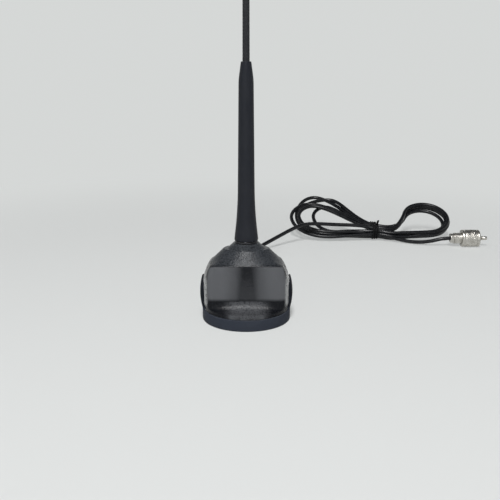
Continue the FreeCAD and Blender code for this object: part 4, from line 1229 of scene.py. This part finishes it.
class ANTENNA_OT_plug(bpy.types.Operator):
    """Coax plug: knurled coupling sleeve, body, reducer, insulator and hollow pin"""
    bl_idname = "antenna.plug"
    bl_label = "Plug"

    def execute(self, context):
        place = Matrix.Translation(PLUG_AXIS) @ Matrix.Rotation(math.pi / 2, 4, "Y")
        finishes = {
            "plated_metal": metal_finish("Plated plug", (0.62, 0.60, 0.56), (0.48, 0.46, 0.42),
                                         roughness=0.26, stretch=(LATHE_LINES, 0.0, 0.0)),
            "insulator": plain_finish("Insulator", (0.055, 0.022, 0.012), (0.10, 0.045, 0.02),
                                      low=0.4, high=0.55),
        }
        sleeve = self.sleeve(context.scene.antenna_plug, place)
        add_piece("Plug_sleeve", sleeve, finishes["plated_metal"], SPIN_BODY, ["plug_sleeve"])
        for name, node, slot, corners, cuts in PLUG_PIECES:
            mesh = spun(name, soft_profile(corners, cuts), PLUG_STEPS, place)
            add_piece(name, mesh, finishes[slot], BODY, [node])
        return {"FINISHED"}

    def sleeve(self, settings, place):
        """Coupling sleeve with crossed knurling between two grooves."""
        waves = settings.knurls / 2

        def knurled(radius, angle, height):
            if radius < (SLEEVE_RADIUS - 0.1) * MM or not KNURL_LOW * MM < height < KNURL_HIGH * MM:
                return radius
            slant = (height - KNURL_LOW * MM) / (SLEEVE_RADIUS * MM)
            first, second = (abs(math.sin(waves * (angle + lean))) for lean in (slant, -slant))
            return radius - settings.knurl_depth * (1 - min(first, second)) * max(first, second)

        knurl_rows = [(SLEEVE_RADIUS, lerp(KNURL_LOW, KNURL_HIGH, row / KNURL_ROWS))
                      for row in range(KNURL_ROWS + 1)]
        profile = [(radius * MM, height * MM) for radius, height in SLEEVE_REAR + knurl_rows + SLEEVE_FRONT]
        return spun("Plug sleeve", profile, SLEEVE_STEPS, place, knurled)


# Pieces inside the base and the mast

class ANTENNA_OT_inner(bpy.types.Operator):
    """Finishes of the magnet, plate, stud, wires, coil and whip rod inside the antenna"""
    bl_idname = "antenna.inner"
    bl_label = "Inner pieces"

    def execute(self, context):
        dress(["ring_magnet"],
              plain_finish("Ferrite", (0.030, 0.029, 0.030), (0.06, 0.058, 0.056), low=0.55, high=0.7))
        dress(["pole_plate", "plate_screws", "stud_nut"],
              metal_finish("Zinc plated steel", (0.55, 0.56, 0.58), (0.42, 0.41, 0.36), roughness=0.34))
        dress(["mast_stud", "mast_insert", "whip_ferrule"],
              metal_finish("Turned brass", (0.62, 0.44, 0.18), (0.44, 0.29, 0.11), roughness=0.28))
        dress(["solder_tag", "ground_tag"],
              metal_finish("Tinned tag", (0.66, 0.66, 0.66), (0.5, 0.5, 0.48), roughness=0.3))
        dress(["loading_coil", "centre_wire", "braid_wire"],
              metal_finish("Copper wire", (0.72, 0.34, 0.18), (0.5, 0.2, 0.1), roughness=0.3,
                           stretch=(0.0, 0.0, 2600.0)))
        dress(["coil_former"],
              plain_finish("Coil former", (0.62, 0.58, 0.48), (0.7, 0.66, 0.56), low=0.45, high=0.6))
        dress(["whip_rod"],
              plain_finish("Fibreglass", (0.55, 0.54, 0.42), (0.66, 0.65, 0.54), low=0.4, high=0.6,
                           size=0.3 * MM))
        return {"FINISHED"}


# Panel and registration

SETTINGS = (("antenna_stage", AntennaStageSettings), ("antenna_base", AntennaBaseSettings),
            ("antenna_mast", AntennaMastSettings), ("antenna_lead", AntennaLeadSettings),
            ("antenna_plug", AntennaPlugSettings))
OPERATORS = (ANTENNA_OT_stage, ANTENNA_OT_tie, ANTENNA_OT_plug, ANTENNA_OT_lead, ANTENNA_OT_housing,
             ANTENNA_OT_boot, ANTENNA_OT_mast, ANTENNA_OT_whip, ANTENNA_OT_inner)


class ANTENNA_PT_pieces(bpy.types.Panel):
    """Lists the antenna's settings and the operators that build it"""
    bl_idname = "ANTENNA_PT_pieces"
    bl_label = "CB antenna"
    bl_space_type = "VIEW_3D"
    bl_region_type = "UI"
    bl_category = "Antenna"

    def draw(self, context):
        for name, kind in SETTINGS:
            box = self.layout.box()
            for prop in kind.__annotations__:
                box.prop(getattr(context.scene, name), prop)
        for operator in OPERATORS:
            self.layout.operator(operator.bl_idname)


def register():
    """Add the settings, operators and panel."""
    for name, kind in SETTINGS:
        bpy.utils.register_class(kind)
        setattr(bpy.types.Scene, name, PointerProperty(type=kind))
    for kind in OPERATORS + (ANTENNA_PT_pieces,):
        bpy.utils.register_class(kind)


def unregister():
    """Take them away again."""
    for kind in (ANTENNA_PT_pieces,) + OPERATORS:
        bpy.utils.unregister_class(kind)
    for name, kind in SETTINGS:
        delattr(bpy.types.Scene, name)
        bpy.utils.unregister_class(kind)


def main():
    """Build everything in order."""
    register()
    bpy.ops.antenna.stage()
    bpy.ops.antenna.tie()
    bpy.ops.antenna.plug()
    bpy.ops.antenna.lead()
    bpy.ops.antenna.housing()
    bpy.ops.antenna.boot()
    bpy.ops.antenna.mast()
    bpy.ops.antenna.whip()
    bpy.ops.antenna.inner()


if __name__ == "__main__":
    main()
